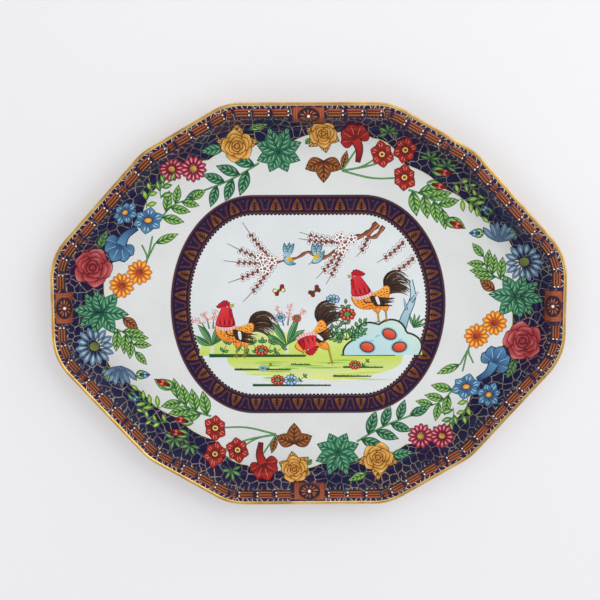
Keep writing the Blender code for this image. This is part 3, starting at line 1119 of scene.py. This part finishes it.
class Path:
    """A closed line, with a way to place a pattern by distance along it and distance inwards."""

    def __init__(self, points, start=0.0):
        self.points = np.r_[points, points[:1]]
        steps = np.linalg.norm(np.diff(self.points, axis=0), axis=1)
        self.run = np.r_[0, np.cumsum(steps)]
        self.length = self.run[-1]
        self.start = start
        left = sides(np.r_[self.points[-2:-1], self.points, self.points[1:2]])[1:-1]
        self.inwards = left

    def at(self, along, inset):
        """Points at distances along the line, anticlockwise, and inwards from it."""
        along = np.mod(np.asarray(along, float) + self.start, self.length)
        place = np.stack([np.interp(along, self.run, self.points[:, k]) for k in (0, 1)], axis=-1)
        side = np.stack([np.interp(along, self.run, self.inwards[:, k]) for k in (0, 1)], axis=-1)
        side /= np.linalg.norm(side, axis=-1, keepdims=True)
        return place + side * np.asarray(inset, float)[..., None]

    def shape(self, outline, along):
        """A small flat drawing, x along the line and y inwards, laid on the path."""
        outline = np.asarray(outline, float)
        return self.at(outline[:, 0] + along, outline[:, 1])


def rim_path():
    """The middle of the ledge on the flat sheet, measured from the middle of the right end."""
    line = ring(RIM_REFERENCE, 16)
    return Path(line, -line[0, 1])


def rim_drop(inset):
    """Distance inwards on the flat sheet from the ledge's middle line to a line seen at inset."""
    return RIM_REFERENCE - flat_radius(inset)


def bar(start, end, outer, inner, steps=5):
    """A straight bar as an outline with enough points to follow a bend."""
    along = np.linspace(start, end, steps)
    return np.r_[np.c_[along, np.full(steps, outer)], np.c_[along[::-1], np.full(steps, inner)]]


def bundle(p, path, at, length, dice, dots=True):
    """Painted reeds bound side by side: notched at one end, with two pale dots at the other."""
    outer, inner = rim_drop(6.4), rim_drop(14.3)
    depth = inner - outer
    start, end = at - length / 2, at + length / 2
    rows = (
        (0.00, 0.34, ink(168, 76, 42), ink(92, 34, 24)),
        (0.32, 0.68, ink(120, 66, 34), ink(66, 34, 22)),
        (0.66, 1.00, ink(130, 58, 32), ink(72, 28, 20)),
    )
    for top, bottom, colour, shade in rows:
        high, low = outer + top * depth, outer + bottom * depth
        along = np.linspace(start, end - 0.6, 5)
        outline = np.r_[
            np.c_[along, np.full(5, high)],
            [(end + 0.9, (high + low) / 2)],
            np.c_[along[::-1], np.full(5, low)],
            [(start + 0.7, (high + low) / 2)],
        ]
        p.add(path.shape(outline, 0), colour, shade, path.at(start, high), path.at(start, low))
        p.add(path.shape(bar(start + 0.6, end - 0.2, low - 0.7, low), 0), ink(36, 18, 18))
        line = high + 0.36 * (low - high)
        knots = int((length - 3.4) / 1.5)
        for knot in range(knots):
            from_here = start + 3.0 + 1.5 * knot + dice.uniform(-0.15, 0.15)
            strand = blade((from_here, line + 0.35), (from_here + 1.5, line - 0.35), 0.75, 0, 0.5, 3)
            p.add(path.shape(strand, 0), ink(190, 116, 62) if top else ink(186, 98, 64))
    if dots:
        for share in (0.27, 0.73):
            dot = path.at(start + 1.3, outer + share * depth)
            p.add(ellipse(dot, 2.2, 2.2, steps=8), INK_BLACK)
            p.add(ellipse(dot, 1.6, 1.6, steps=8), DOT)


def wheel(p, path, at, dice):
    """A rust panel with a dark spoked oval, half on the ledge and half on the wall; the pale dot at its
    middle, on the crease, is partly print and partly a painted highlight.
    """
    outer, inner = rim_drop(4.4), rim_drop(18.9)
    along = np.linspace(-WHEEL_LENGTH / 2, WHEEL_LENGTH / 2, 9)
    wave = 0.35 * np.sin(along * 2.1)
    outline = np.r_[np.c_[along, outer + wave], np.c_[along[::-1], inner - wave]]
    panel = path.shape(outline, at)
    p.add(panel, RUST_DEEP)
    outline = outline * (0.955, 1) + np.where(outline[:, 1:] > 0, -0.6, 0.6) * (0, 1)
    p.add(path.shape(outline, at), ink(156, 78, 44), ink(124, 52, 30), path.at(at, outer),
          path.at(at, inner))
    for x in (-13.4, -11.4, 11.4, 13.4):
        line = [path.at(at + x, inset) for inset in np.linspace(outer + 1, inner - 1, 4)]
        p.add(ribbon(line, 0.5, 0.4), ink(182, 104, 62))
    middle = (outer + inner) / 2
    tall = inner - outer - 1.0
    p.add(path.shape(ellipse((at, middle), 21.4, tall, steps=24), 0), ink(70, 28, 22))
    p.add(path.shape(ellipse((at, middle), 20.2, tall - 1.2, steps=24), 0), ink(34, 24, 46))
    for index in range(11):
        angle = 360 / 11 * index + 12 + dice.uniform(-4, 4)
        cos, sin = math.cos(math.radians(angle)), math.sin(math.radians(angle))
        reach = np.array((9.4 * cos, (tall / 2 - 1.2) * sin)) * dice.uniform(0.86, 1.0)
        p.add(path.shape(blade(reach * 0.2, reach, 1.5, 0.5, 0.66, 5) + (at, middle), 0),
              ink(146, 64, 30))
        p.add(path.shape(blade(reach * 0.45, reach * 0.9, 0.6, 0.2, 0.5, 4) + (at, middle), 0),
              ink(204, 122, 64))
    p.add(path.shape(ellipse((at, middle), 3.8, 3.6, steps=10), 0), ink(150, 92, 60))
    # Pale middle dot on the crease: partly the print's own dot, partly a painted highlight of the crease.
    p.add(path.shape(ellipse((at, middle), 2.6, 2.4, steps=10), 0), DOT)


def rim(p, dice):
    """The painted ledge: a pale line, scattered ticks, the bundles and wheels, and short dashes."""
    path = rim_path()
    quarter = path.length / 4
    spare = quarter - WHEEL_LENGTH
    units = GROUPS_PER_QUARTER * (BUNDLES_PER_GROUP * BUNDLE_LENGTH)
    units += (GROUPS_PER_QUARTER - 1) * SPACER_LENGTH
    gaps = GROUPS_PER_QUARTER * BUNDLES_PER_GROUP + GROUPS_PER_QUARTER
    gap = (spare - units) / gaps
    p.add(ring(flat_radius(2.8), 16), PALE_GOLD)
    p.add(ring(flat_radius(3.2), 16), NAVY, crackle=1)
    for corner in range(4):
        at = corner * quarter
        wheel(p, path, at, dice)
        at += WHEEL_LENGTH / 2
        for group in range(GROUPS_PER_QUARTER):
            if group:
                at += gap + SPACER_LENGTH / 2
                bundle(p, path, at, SPACER_LENGTH, dice, dots=False)
                at += SPACER_LENGTH / 2
            for _ in range(BUNDLES_PER_GROUP):
                at += gap + BUNDLE_LENGTH / 2
                bundle(p, path, at, BUNDLE_LENGTH, dice)
                at += BUNDLE_LENGTH / 2
    ticks(p, path, quarter, dice)


def ticks(p, path, quarter, dice):
    """Short pale brush marks outside the bundles and a broken line inside them."""
    at = 0.0
    while at < path.length:
        far = min(at % quarter, quarter - at % quarter)
        if far > WHEEL_LENGTH / 2 + 1:
            top, low = rim_drop(3.4), rim_drop(dice.uniform(5.3, 6.4))
            lean = dice.choice((-1.2, -0.5, 0.4, 1.1))
            mark = [path.at(at - lean, top), path.at(at + lean, low)]
            p.add(ribbon(mark, 0.8, 0.4), TICK)
            start, lean = rim_drop(14.8), dice.uniform(-1.6, 1.6)
            mark = [path.at(at, start), path.at(at + lean, start + dice.uniform(1.4, 4.0))]
            p.add(ribbon(mark, 0.5, 0.25), dice.choice((CRACK, CRACK, ink(190, 176, 140))))
            if dice.random() < 0.3:
                outline = bar(at, at + dice.uniform(1.4, 3.0), start + 0.1, start + 0.5, 3)
                p.add(path.shape(outline, 0), TICK)
        at += dice.uniform(4.2, 6.4)


# ---------------------------------------------------------------- the medallion's frame
MEDALLION_CENTRE = (-0.5, -0.8)
MEDALLION = (135.9, 108.7)
MEDALLION_CORNER = (82.3, 108.7)
PATTERN_LINE = 10.0
PALMETTES = 36
BEAD_PITCH = 3.75


def medallion_outline(steps=24):
    """Straight above and below, with an ellipse's quarter at each corner."""
    points = []
    centre = np.array(MEDALLION) - MEDALLION_CORNER
    for quarter, (x, y) in enumerate(((1, 1), (-1, 1), (-1, -1), (1, -1))):
        for turn in np.linspace(0, math.pi / 2, steps, endpoint=False):
            angle = turn + quarter * math.pi / 2
            reach = np.array((math.cos(angle), math.sin(angle))) * MEDALLION_CORNER
            points.append(centre * (x, y) + reach)
        if quarter % 2 == 0:
            points.append(centre * (x, y) + (0, y * MEDALLION_CORNER[1]))
    return np.array(points) + MEDALLION_CENTRE


def inset_loop(path, inset, steps=220):
    return path.at(np.linspace(0, path.length, steps, endpoint=False), np.full(steps, inset))


def palmette(p, path, at, dice):
    """A brown pointed arch with a dark veined leaf inside, its point outwards."""
    half = dice.uniform(4.9, 5.5)
    side = np.array([(0, -7.0), (1.5, -5.0), (3.3, -1.6), (4.5, 1.8), (5.0, 4.7)]) * (half / 5.0, 1)
    outline = np.r_[side, side[:0:-1] * (-1, 1)]
    p.add(path.shape(outline * 1.14 + (0, -0.1), at), ink(44, 10, 26))
    p.add(path.shape(outline, at), ink(112, 56, 32), ink(140, 82, 44), path.at(at, 0), path.at(at, 4))
    p.add(path.shape(blade((0, 5.6), (0, -4.6), 2.1, 0, 0.3, 6), at), ink(26, 12, 14))
    for y in (3.4, 1.2, -1.0):
        for turn in (-1, 1):
            reach = half * (0.5 + 0.07 * y)
            barb = blade((0, y + 0.5), (turn * reach, y - 2.0), 1.0, turn * 0.3, 0.4, 4)
            p.add(path.shape(barb, at), ink(46, 20, 18))
            barb = blade((0.8 * turn, y + 1.2), (turn * (reach + 0.7), y - 0.6), 0.6, 0, 0.5, 3)
            p.add(path.shape(barb, at), ink(140, 84, 48))


def sprout(p, path, at):
    """A narrow brown cup with a small bud in its mouth, between two arches."""
    cup = np.array([(-5.2, -5.9), (-3.2, -1.8), (-2.2, 4.4), (2.2, 4.4), (3.2, -1.8), (5.2, -5.9)])
    inside = cup * (0.72, 0.8) + (0, -0.6)
    p.add(path.shape(cup * (1.1, 1.05), at), ink(56, 20, 40))
    for a, b in zip(cup, cup[1:]):
        line = [path.at(at + point[0], point[1]) for point in (a, between(a, b, 0.5), b)]
        p.add(ribbon(line, 1.3, 1.3), ink(96, 46, 40))
    p.add(path.shape(inside, at), ink(30, 14, 50))
    p.add(path.shape(ellipse((0, -2.6), 2.2, 3.6, steps=9), at), FRAME_NAVY)
    p.add(path.shape(ellipse((0, -4.9), 1.5, 1.7, steps=8), at), ink(84, 60, 96))


# distance inwards from the frame's outer line, and colour, of each line round it
OUTER_LINES = (
    (-0.5, ink(190, 200, 210)), (0.0, ink(66, 36, 34)), (0.9, ink(98, 46, 32)),
    (1.7, ink(48, 16, 30)), (2.1, FRAME_NAVY),
)
INNER_LINES = (
    (15.3, ink(56, 18, 38)), (15.8, FRAME_NAVY), (17.0, ink(98, 52, 40)),
    (17.7, ink(40, 20, 24)), (18.5, PICTURE_WHITE),
)
BEAD_LINE = 18.6


def medallion_frame(p, dice):
    """The oval frame: its lines, the arches and cups between them, and the inner beads."""
    outer = Path(medallion_outline())
    for inset, colour in OUTER_LINES:
        p.add(inset_loop(outer, inset), colour)
    line = inset_loop(outer, PATTERN_LINE, 360)
    start = int(np.argmin(np.abs(line[:, 1] - MEDALLION_CENTRE[1]) + (line[:, 0] < 0) * 1000))
    path = Path(np.roll(line, -start, axis=0))
    pitch = path.length / PALMETTES
    for index in range(PALMETTES):
        sprout(p, path, pitch * index)
        palmette(p, path, pitch * (index + 0.5), dice)
    for inset, colour in INNER_LINES:
        p.add(inset_loop(outer, inset), colour)
    inner = Path(inset_loop(outer, BEAD_LINE, 360))
    beads = int(inner.length / BEAD_PITCH)
    for index in range(beads):
        at = inner.length * index / beads
        p.add(inner.shape(ellipse((0, -0.2), 3.3, 3.0, steps=9), at), ink(44, 24, 22))
        p.add(inner.shape(ellipse((0, -1.0), 1.9, 0.9, steps=7), at), ink(118, 74, 56))


# ---------------------------------------------------------------- from the drawing to a mesh
def sheet_edge():
    return ring(FLOOR_RADIUS + SECTION_LENGTHS[-1])


def cut_plane(outlines):
    """One flat triangle mesh whose edges follow every outline."""
    points, edges = [], []
    for outline in outlines:
        first = len(points)
        points.extend(Vector(point) for point in outline.tolist())
        count = len(outline)
        edges.extend((first + k, first + (k + 1) % count) for k in range(count))
    made = delaunay_2d_cdt(points, edges, [], 0, 1e-4, False)
    return np.array([tuple(v) for v in made[0]]), np.array(made[2])


def winding(points, outline):
    """How many times the outline goes round each point."""
    turns = np.zeros(len(points), int)
    x, y = points.T
    for (ax, ay), (bx, by) in zip(outline, np.roll(outline, -1, axis=0)):
        if ay == by:
            continue
        crossing = (ay <= y) != (by <= y)
        left = ax + (y - ay) * (bx - ax) / (by - ay) > x
        turns += np.where(crossing & left, 1 if by > ay else -1, 0)
    return turns


def topmost_shapes(centres, shapes):
    """The number of the last printed shape over each triangle."""
    order = np.argsort(centres[:, 0])
    ordered = centres[order]
    owner = np.zeros(len(centres), int)
    for number, shape in enumerate(shapes):
        low, high = shape["outline"].min(axis=0), shape["outline"].max(axis=0)
        span = slice(*np.searchsorted(ordered[:, 0], (low[0], high[0])))
        near = np.flatnonzero((ordered[span, 1] >= low[1]) & (ordered[span, 1] <= high[1]))
        near += span.start
        if len(near):
            inside = winding(ordered[near], shape["outline"]) != 0
            owner[order[near[inside]]] = number
    return owner


def print_colours(corners, owner, shapes):
    """Linear RGB and crackle share at each corner of each triangle."""
    start = np.array([shape["start"] for shape in shapes])[owner][:, None]
    run = np.array([shape["end"] - shape["start"] for shape in shapes])[owner][:, None]
    first = np.array([shape["colour"] for shape in shapes])[owner][:, None]
    last = np.array([shape["end_colour"] for shape in shapes])[owner][:, None]
    share = ((corners - start) * run).sum(axis=2) / (run * run).sum(axis=2)
    share = np.clip(share, 0, 1)[:, :, None]
    crackle = np.array([shape["crackle"] for shape in shapes], float)[owner]
    crackle = np.repeat(crackle[:, None, None], 3, axis=1)
    return np.concatenate([first + share * (last - first), crackle], axis=2)


def new_object(name, mesh, look):
    piece = bpy.data.objects.new(name, mesh)
    bpy.context.scene.collection.objects.link(piece)
    mesh.materials.append(look)
    return piece


def printed_film(picture, look):
    """The printed skin: the cut-up picture folded onto the pressing, closed below and at the edge."""
    edge = sheet_edge()
    stations = [ring(FLOOR_RADIUS + run) for run in SECTION_LENGTHS]
    flat, triangles = cut_plane([*stations, *(shape["outline"] for shape in picture.shapes)])
    centres = flat[triangles].mean(axis=1)
    kept = winding(centres, edge) != 0
    triangles, centres = triangles[kept], centres[kept]
    used, triangles = np.unique(triangles, return_inverse=True)
    flat, triangles = flat[used], triangles.reshape(-1, 3)
    owner = topmost_shapes(centres, picture.shapes)
    colours = print_colours(flat[triangles], owner, picture.shapes)

    top, top_normals = fold(flat, SHEET / 2 + FILM_GAP + FILM)
    under_flat = np.concatenate(stations)
    under, under_normals = fold(under_flat, SHEET / 2 + FILM_GAP)
    count, loop = len(top), len(edge)
    faces = triangles.tolist()
    for station in range(len(stations) - 1):
        inner = count + station * loop
        for k in range(loop):
            n = (k + 1) % loop
            faces.append((inner + k, inner + n, inner + loop + n, inner + loop + k))
    faces.append([count + k for k in range(loop)][::-1])
    lip = [int(np.argmin(np.linalg.norm(flat - point, axis=1))) for point in edge]
    last = count + (len(stations) - 1) * loop
    for k in range(loop):
        n = (k + 1) % loop
        faces.append((lip[k], last + k, last + n, lip[n]))

    mesh = bpy.data.meshes.new("printed_face")
    mesh.from_pydata(np.r_[top, under] * MM, [], faces)
    loops = len(mesh.loops)
    painted = mesh.color_attributes.new("ink", "FLOAT_COLOR", "CORNER")
    values = np.full((loops, 4), (*NAVY, 0.0))
    values[: 3 * len(triangles)] = colours.reshape(-1, 4)
    painted.data.foreach_set("color", values.astype(np.float32).ravel())
    place = mesh.attributes.new("flat_place", "FLOAT_VECTOR", "POINT")
    spot = np.r_[flat, under_flat] * MM
    place.data.foreach_set("vector", np.c_[spot, np.zeros(len(spot))].astype(np.float32).ravel())
    corner = np.empty(loops, np.int32)
    mesh.loops.foreach_get("vertex_index", corner)
    normals = np.r_[top_normals, -under_normals][corner]
    mesh.shade_smooth()
    mesh.normals_split_custom_set(normals.tolist())
    print(f"printed film: {len(picture.shapes)} shapes, {len(triangles)} triangles")
    return new_object("printed_film", mesh, look)


def hem_section():
    """The curled edge round the wire, from under the ledge, out and over to the ledge's end."""
    middle = HEM_RADIUS - SHEET / 2
    points = []
    for angle in np.radians(np.linspace(HEM_END_DEG, HEM_JOIN_DEG, HEM_STEPS + 1)):
        points.append(
            (HEM_RADIUS - middle * math.cos(angle), HEIGHT - HEM_RADIUS + middle * math.sin(angle))
        )
    return points


def pressed_sheet(look):
    """The tin pressing: one sheet from the floor to the curled hem, with its thickness."""
    section = np.array([*SECTION, *hem_section()[::-1]])
    steps = 16
    rings = []
    for inset, height in section:
        line = ring(CORNER_RADIUS - inset, steps)
        rings.append(np.c_[line, np.full(len(line), height)])
    loop = len(rings[0])
    faces = [[*range(loop)]]
    for station in range(len(rings) - 1):
        inner = station * loop
        for k in range(loop):
            n = (k + 1) % loop
            faces.append((inner + k, inner + loop + k, inner + loop + n, inner + n))
    mesh = bpy.data.meshes.new("pressed_sheet")
    mesh.from_pydata(np.concatenate(rings) * MM, [], faces)
    mesh.shade_smooth()
    piece = new_object("pressed_sheet", mesh, look)
    thick = piece.modifiers.new("sheet thickness", "SOLIDIFY")
    thick.thickness = SHEET * MM
    thick.offset = 0
    return piece


# ---------------------------------------------------------------- materials
class Looks:
    """Short calls for building one node material."""

    def __init__(self, name):
        self.material = bpy.data.materials.new(name)
        self.material.use_nodes = True
        self.tree = self.material.node_tree
        self.shader = self.tree.nodes["Principled BSDF"]

    def node(self, kind, **settings):
        made = self.tree.nodes.new(kind)
        for key, value in settings.items():
            setattr(made, key, value)
        return made

    def link(self, source, target):
        self.tree.links.new(source, target)
        return target

    def noise(self, place, scale, detail=2.0, stretch=None):
        if stretch is not None:
            mapping = self.node("ShaderNodeMapping")
            mapping.inputs["Scale"].default_value = stretch
            self.link(place, mapping.inputs["Vector"])
            place = mapping.outputs["Vector"]
        made = self.node("ShaderNodeTexNoise")
        made.inputs["Scale"].default_value = scale
        made.inputs["Detail"].default_value = detail
        self.link(place, made.inputs["Vector"])
        return made.outputs["Fac"]

    def spread(self, value, low, high, to_low=0.0, to_high=1.0):
        made = self.node("ShaderNodeMapRange")
        for key, number in zip(("From Min", "From Max", "To Min", "To Max"), (low, high, to_low, to_high)):
            made.inputs[key].default_value = number
        self.link(value, made.inputs["Value"])
        return made.outputs["Result"]

    def maths(self, operation, first, second):
        made = self.node("ShaderNodeMath", operation=operation)
        for socket, value in zip(made.inputs, (first, second)):
            if isinstance(value, (int, float)):
                socket.default_value = value
            else:
                self.link(value, socket)
        return made.outputs["Value"]

    def mix(self, share, first, second, blend="MIX"):
        made = self.node("ShaderNodeMix", data_type="RGBA", blend_type=blend)
        sockets = (made.inputs["Factor"], made.inputs[6], made.inputs[7])
        for socket, value in zip(sockets, (share, first, second)):
            if isinstance(value, (int, float)):
                socket.default_value = value
            elif isinstance(value, (tuple, np.ndarray)):
                socket.default_value = (*value, 1.0)
            else:
                self.link(value, socket)
        return made.outputs[2]

    def bump(self, height, strength, distance, normal=None):
        made = self.node("ShaderNodeBump")
        made.inputs["Strength"].default_value = strength
        made.inputs["Distance"].default_value = distance
        self.link(height, made.inputs["Height"])
        if normal is not None:
            self.link(normal, made.inputs["Normal"])
        return made.outputs["Normal"]

    def finish(self, colour, roughness, normal, **fixed):
        self.link(colour, self.shader.inputs["Base Color"])
        self.link(roughness, self.shader.inputs["Roughness"])
        self.link(normal, self.shader.inputs["Normal"])
        for key, value in fixed.items():
            self.shader.inputs[key.replace("_", " ").title().replace("Ior", "IOR")].default_value = value
        return self.material


def printed_enamel():
    """Printed inks under varnish: crackle in the navy, faint mottling, fine scuffs."""
    looks = Looks("printed_enamel")
    ink_node = looks.node("ShaderNodeAttribute", attribute_name="ink")
    place = looks.node("ShaderNodeAttribute", attribute_name="flat_place").outputs["Vector"]

    warp = looks.node("ShaderNodeTexNoise")
    warp.inputs["Scale"].default_value = 260
    looks.link(place, warp.inputs["Vector"])
    bent = looks.node("ShaderNodeVectorMath", operation="MULTIPLY_ADD")
    looks.link(warp.outputs["Color"], bent.inputs[0])
    bent.inputs[1].default_value = (0.003, 0.003, 0)
    looks.link(place, bent.inputs[2])
    cells = looks.node("ShaderNodeTexVoronoi", voronoi_dimensions="2D", feature="DISTANCE_TO_EDGE")
    cells.inputs["Scale"].default_value = 118
    looks.link(bent.outputs["Vector"], cells.inputs["Vector"])
    line = looks.spread(cells.outputs["Distance"], 0.022, 0.05, 1.0, 0.0)
    patchy = looks.spread(looks.noise(place, 38), 0.36, 0.6, 0.3, 0.95)
    crackle = looks.maths("MULTIPLY", looks.maths("MULTIPLY", line, patchy), ink_node.outputs["Alpha"])
    colour = looks.mix(crackle, ink_node.outputs["Color"], tuple(CRACK))

    grain = looks.spread(looks.noise(place, 900, 3), 0.3, 0.7, 0.93, 1.05)
    tone = looks.spread(looks.noise(place, 14, 3), 0.35, 0.65, 0.96, 1.03)
    shade = looks.maths("MULTIPLY", grain, tone)
    grey = looks.node("ShaderNodeCombineColor")
    for channel in ("Red", "Green", "Blue"):
        looks.link(shade, grey.inputs[channel])
    colour = looks.mix(1.0, colour, grey.outputs["Color"], "MULTIPLY")

    scuffs = looks.noise(place, 60, 4, (1, 14, 1))
    scuffs = looks.spread(scuffs, 0.62, 0.8)
    smear = looks.spread(looks.noise(place, 26, 3), 0.3, 0.7, 0.36, 0.48)
    roughness = looks.maths("ADD", smear, looks.maths("MULTIPLY", scuffs, 0.16))
    normal = looks.bump(looks.noise(place, 420, 2), 0.05, 0.0004)
    normal = looks.bump(looks.noise(place, 22, 2), 0.06, 0.002, normal)
    return looks.finish(
        colour, roughness, normal, specular_ior_level=0.28, coat_weight=0.08, coat_roughness=0.2
    )


def lacquered_tin():
    """Gold lacquer over tinplate, worn a little darker in patches, with rolling scratches."""
    looks = Looks("lacquered_tinplate")
    place = looks.node("ShaderNodeTexCoord").outputs["Object"]
    patches = looks.spread(looks.noise(place, 45, 4), 0.35, 0.68)
    colour = looks.mix(patches, tuple(ink(228, 190, 118)), tuple(ink(184, 140, 78)))
    specks = looks.spread(looks.noise(place, 520, 3), 0.62, 0.7)
    colour = looks.mix(looks.maths("MULTIPLY", specks, 0.5), colour, tuple(ink(92, 64, 38)))
    scratches = looks.noise(place, 70, 3, (2, 40, 2))
    roughness = looks.spread(scratches, 0.3, 0.7, 0.24, 0.42)
    normal = looks.bump(scratches, 0.06, 0.0003)
    return looks.finish(colour, roughness, normal, metallic=0.85)


def bright_wire():
    looks = Looks("steel_wire")
    place = looks.node("ShaderNodeTexCoord").outputs["Object"]
    patches = looks.spread(looks.noise(place, 160, 4), 0.3, 0.7)
    colour = looks.mix(patches, tuple(ink(176, 172, 166)), tuple(ink(120, 112, 104)))
    drawn = looks.noise(place, 900, 2)
    roughness = looks.spread(drawn, 0.3, 0.7, 0.28, 0.5)
    return looks.finish(colour, roughness, looks.bump(drawn, 0.1, 0.0002), metallic=1.0)


def pale_floor():
    """A pale floor that glows faintly, so that the tray's shadow on it stays light."""
    looks = Looks("pale_floor")
    place = looks.node("ShaderNodeTexCoord").outputs["Object"]
    tone = looks.spread(looks.noise(place, 1.2, 2), 0.3, 0.7)
    colour = looks.mix(tone, tuple(ink(205, 205, 206)), tuple(ink(201, 201, 204)))
    roughness = looks.spread(looks.noise(place, 90, 2), 0.3, 0.7, 0.75, 0.85)
    looks.shader.inputs["Emission Color"].default_value = (0.97, 0.97, 1.0, 1.0)
    looks.shader.inputs["Emission Strength"].default_value = FLOOR_GLOW
    return looks.finish(colour, roughness, looks.bump(looks.noise(place, 400), 0.02, 0.0005))


# ---------------------------------------------------------------- floor, lights and camera
CAMERA_DISTANCE = 1.15
CAMERA_TILT = 7.0
CAMERA_YAW = -0.3
CAMERA_ROLL = -0.19
CAMERA_AIM = (-0.0087, 0.0074, 0.025)
LENS = 71.3
SENSOR_WIDTH = 36.0
FLOOR_HALF = 6.0
FLOOR_GLOW = 0.26
COOL, WARM = (1.0, 0.99, 1.0), (1.0, 0.985, 0.95)
# name, place, side of the square, power and colour; each one faces the tray
LAMPS = (
    ("key", (1.6, 0.95, 1.4), 2.4, 35, COOL),
    ("fill", (-1.6, -0.5, 1.6), 2.2, 9, WARM),
    ("near side", (0.2, -1.9, 1.6), 2.2, 8, COOL),
    ("far side", (-0.2, 1.9, 1.6), 2.2, 9, COOL),
)
ROOM_LEVELS = {"From Min": 0.5, "From Max": 0.92, "To Min": 0.8, "To Max": 0.24}


def floor_plane():
    mesh = bpy.data.meshes.new("floor")
    half = FLOOR_HALF
    corners = [(-half, -half, 0), (half, -half, 0), (half, half, 0), (-half, half, 0)]
    mesh.from_pydata(corners, [], [(0, 1, 2, 3)])
    floor = new_object("floor", mesh, pale_floor())


def area_light(name, place, size, power, colour):
    data = bpy.data.lights.new(name, "AREA")
    data.shape = "RECTANGLE"
    data.size = data.size_y = size
    data.energy = power
    data.color = colour
    light = bpy.data.objects.new(name, data)
    light.location = place
    light.rotation_euler = (-Vector(place)).to_track_quat("-Z", "Y").to_euler()
    light.visible_camera = False
    bpy.context.scene.collection.objects.link(light)


def soft_room():
    """A white room, brightest low down and dim overhead, where the gloss would mirror it."""
    world = bpy.data.worlds.new("soft white room")
    world.use_nodes = True
    tree = world.node_tree
    place = tree.nodes.new("ShaderNodeTexCoord")
    split = tree.nodes.new("ShaderNodeSeparateXYZ")
    tree.links.new(place.outputs["Generated"], split.inputs["Vector"])
    level = tree.nodes.new("ShaderNodeMapRange")
    level.interpolation_type = "SMOOTHSTEP"
    for key, number in ROOM_LEVELS.items():
        level.inputs[key].default_value = number
    tree.links.new(split.outputs["Z"], level.inputs["Value"])
    background = tree.nodes["Background"]
    background.inputs["Color"].default_value = (0.96, 0.965, 1.0, 1.0)
    tree.links.new(level.outputs["Result"], background.inputs["Strength"])
    bpy.context.scene.world = world


def studio():
    floor_plane()
    for lamp in LAMPS:
        area_light(*lamp)
    soft_room()
    bpy.context.scene.view_settings.view_transform = "Standard"


def camera():
    data = bpy.data.cameras.new("camera")
    data.lens = LENS
    data.sensor_width = SENSOR_WIDTH
    made = bpy.data.objects.new("camera", data)
    tilt, yaw = math.radians(CAMERA_TILT), math.radians(CAMERA_YAW)
    away = Vector((math.sin(yaw), math.sin(tilt) * math.cos(yaw), math.cos(tilt))).normalized()
    right = Vector((0, 1, 0)).cross(away).normalized()
    level = Matrix((right, away.cross(right), away)).transposed()
    turned = level @ Matrix.Rotation(math.radians(CAMERA_ROLL), 3, "Z")
    made.matrix_world = Matrix.Translation(Vector(CAMERA_AIM) + away * CAMERA_DISTANCE) @ turned.to_4x4()
    bpy.context.scene.collection.objects.link(made)
    bpy.context.scene.camera = made


# ---------------------------------------------------------------- putting it together
DICE_SEED = 7


def main():
    """Draws the print, builds the skin and the pressing, dresses the wire and sets the studio."""
    dice = random.Random(DICE_SEED)
    picture = Picture()
    picture.add(sheet_edge(), ink(214, 178, 96))
    rim(picture, dice)
    navy_ground(picture)
    wreath(picture)
    medallion_frame(picture, dice)
    garden(picture, dice)
    film = printed_film(picture, printed_enamel())
    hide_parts("printed_face")
    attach(film, "root")

    sheet = pressed_sheet(lacquered_tin())
    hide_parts("tray_pressing")
    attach(sheet, "root")

    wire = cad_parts["rim_wire"]
    steel = bright_wire()
    for slot in wire.material_slots:
        slot.material = steel

    studio()
    camera()


main()
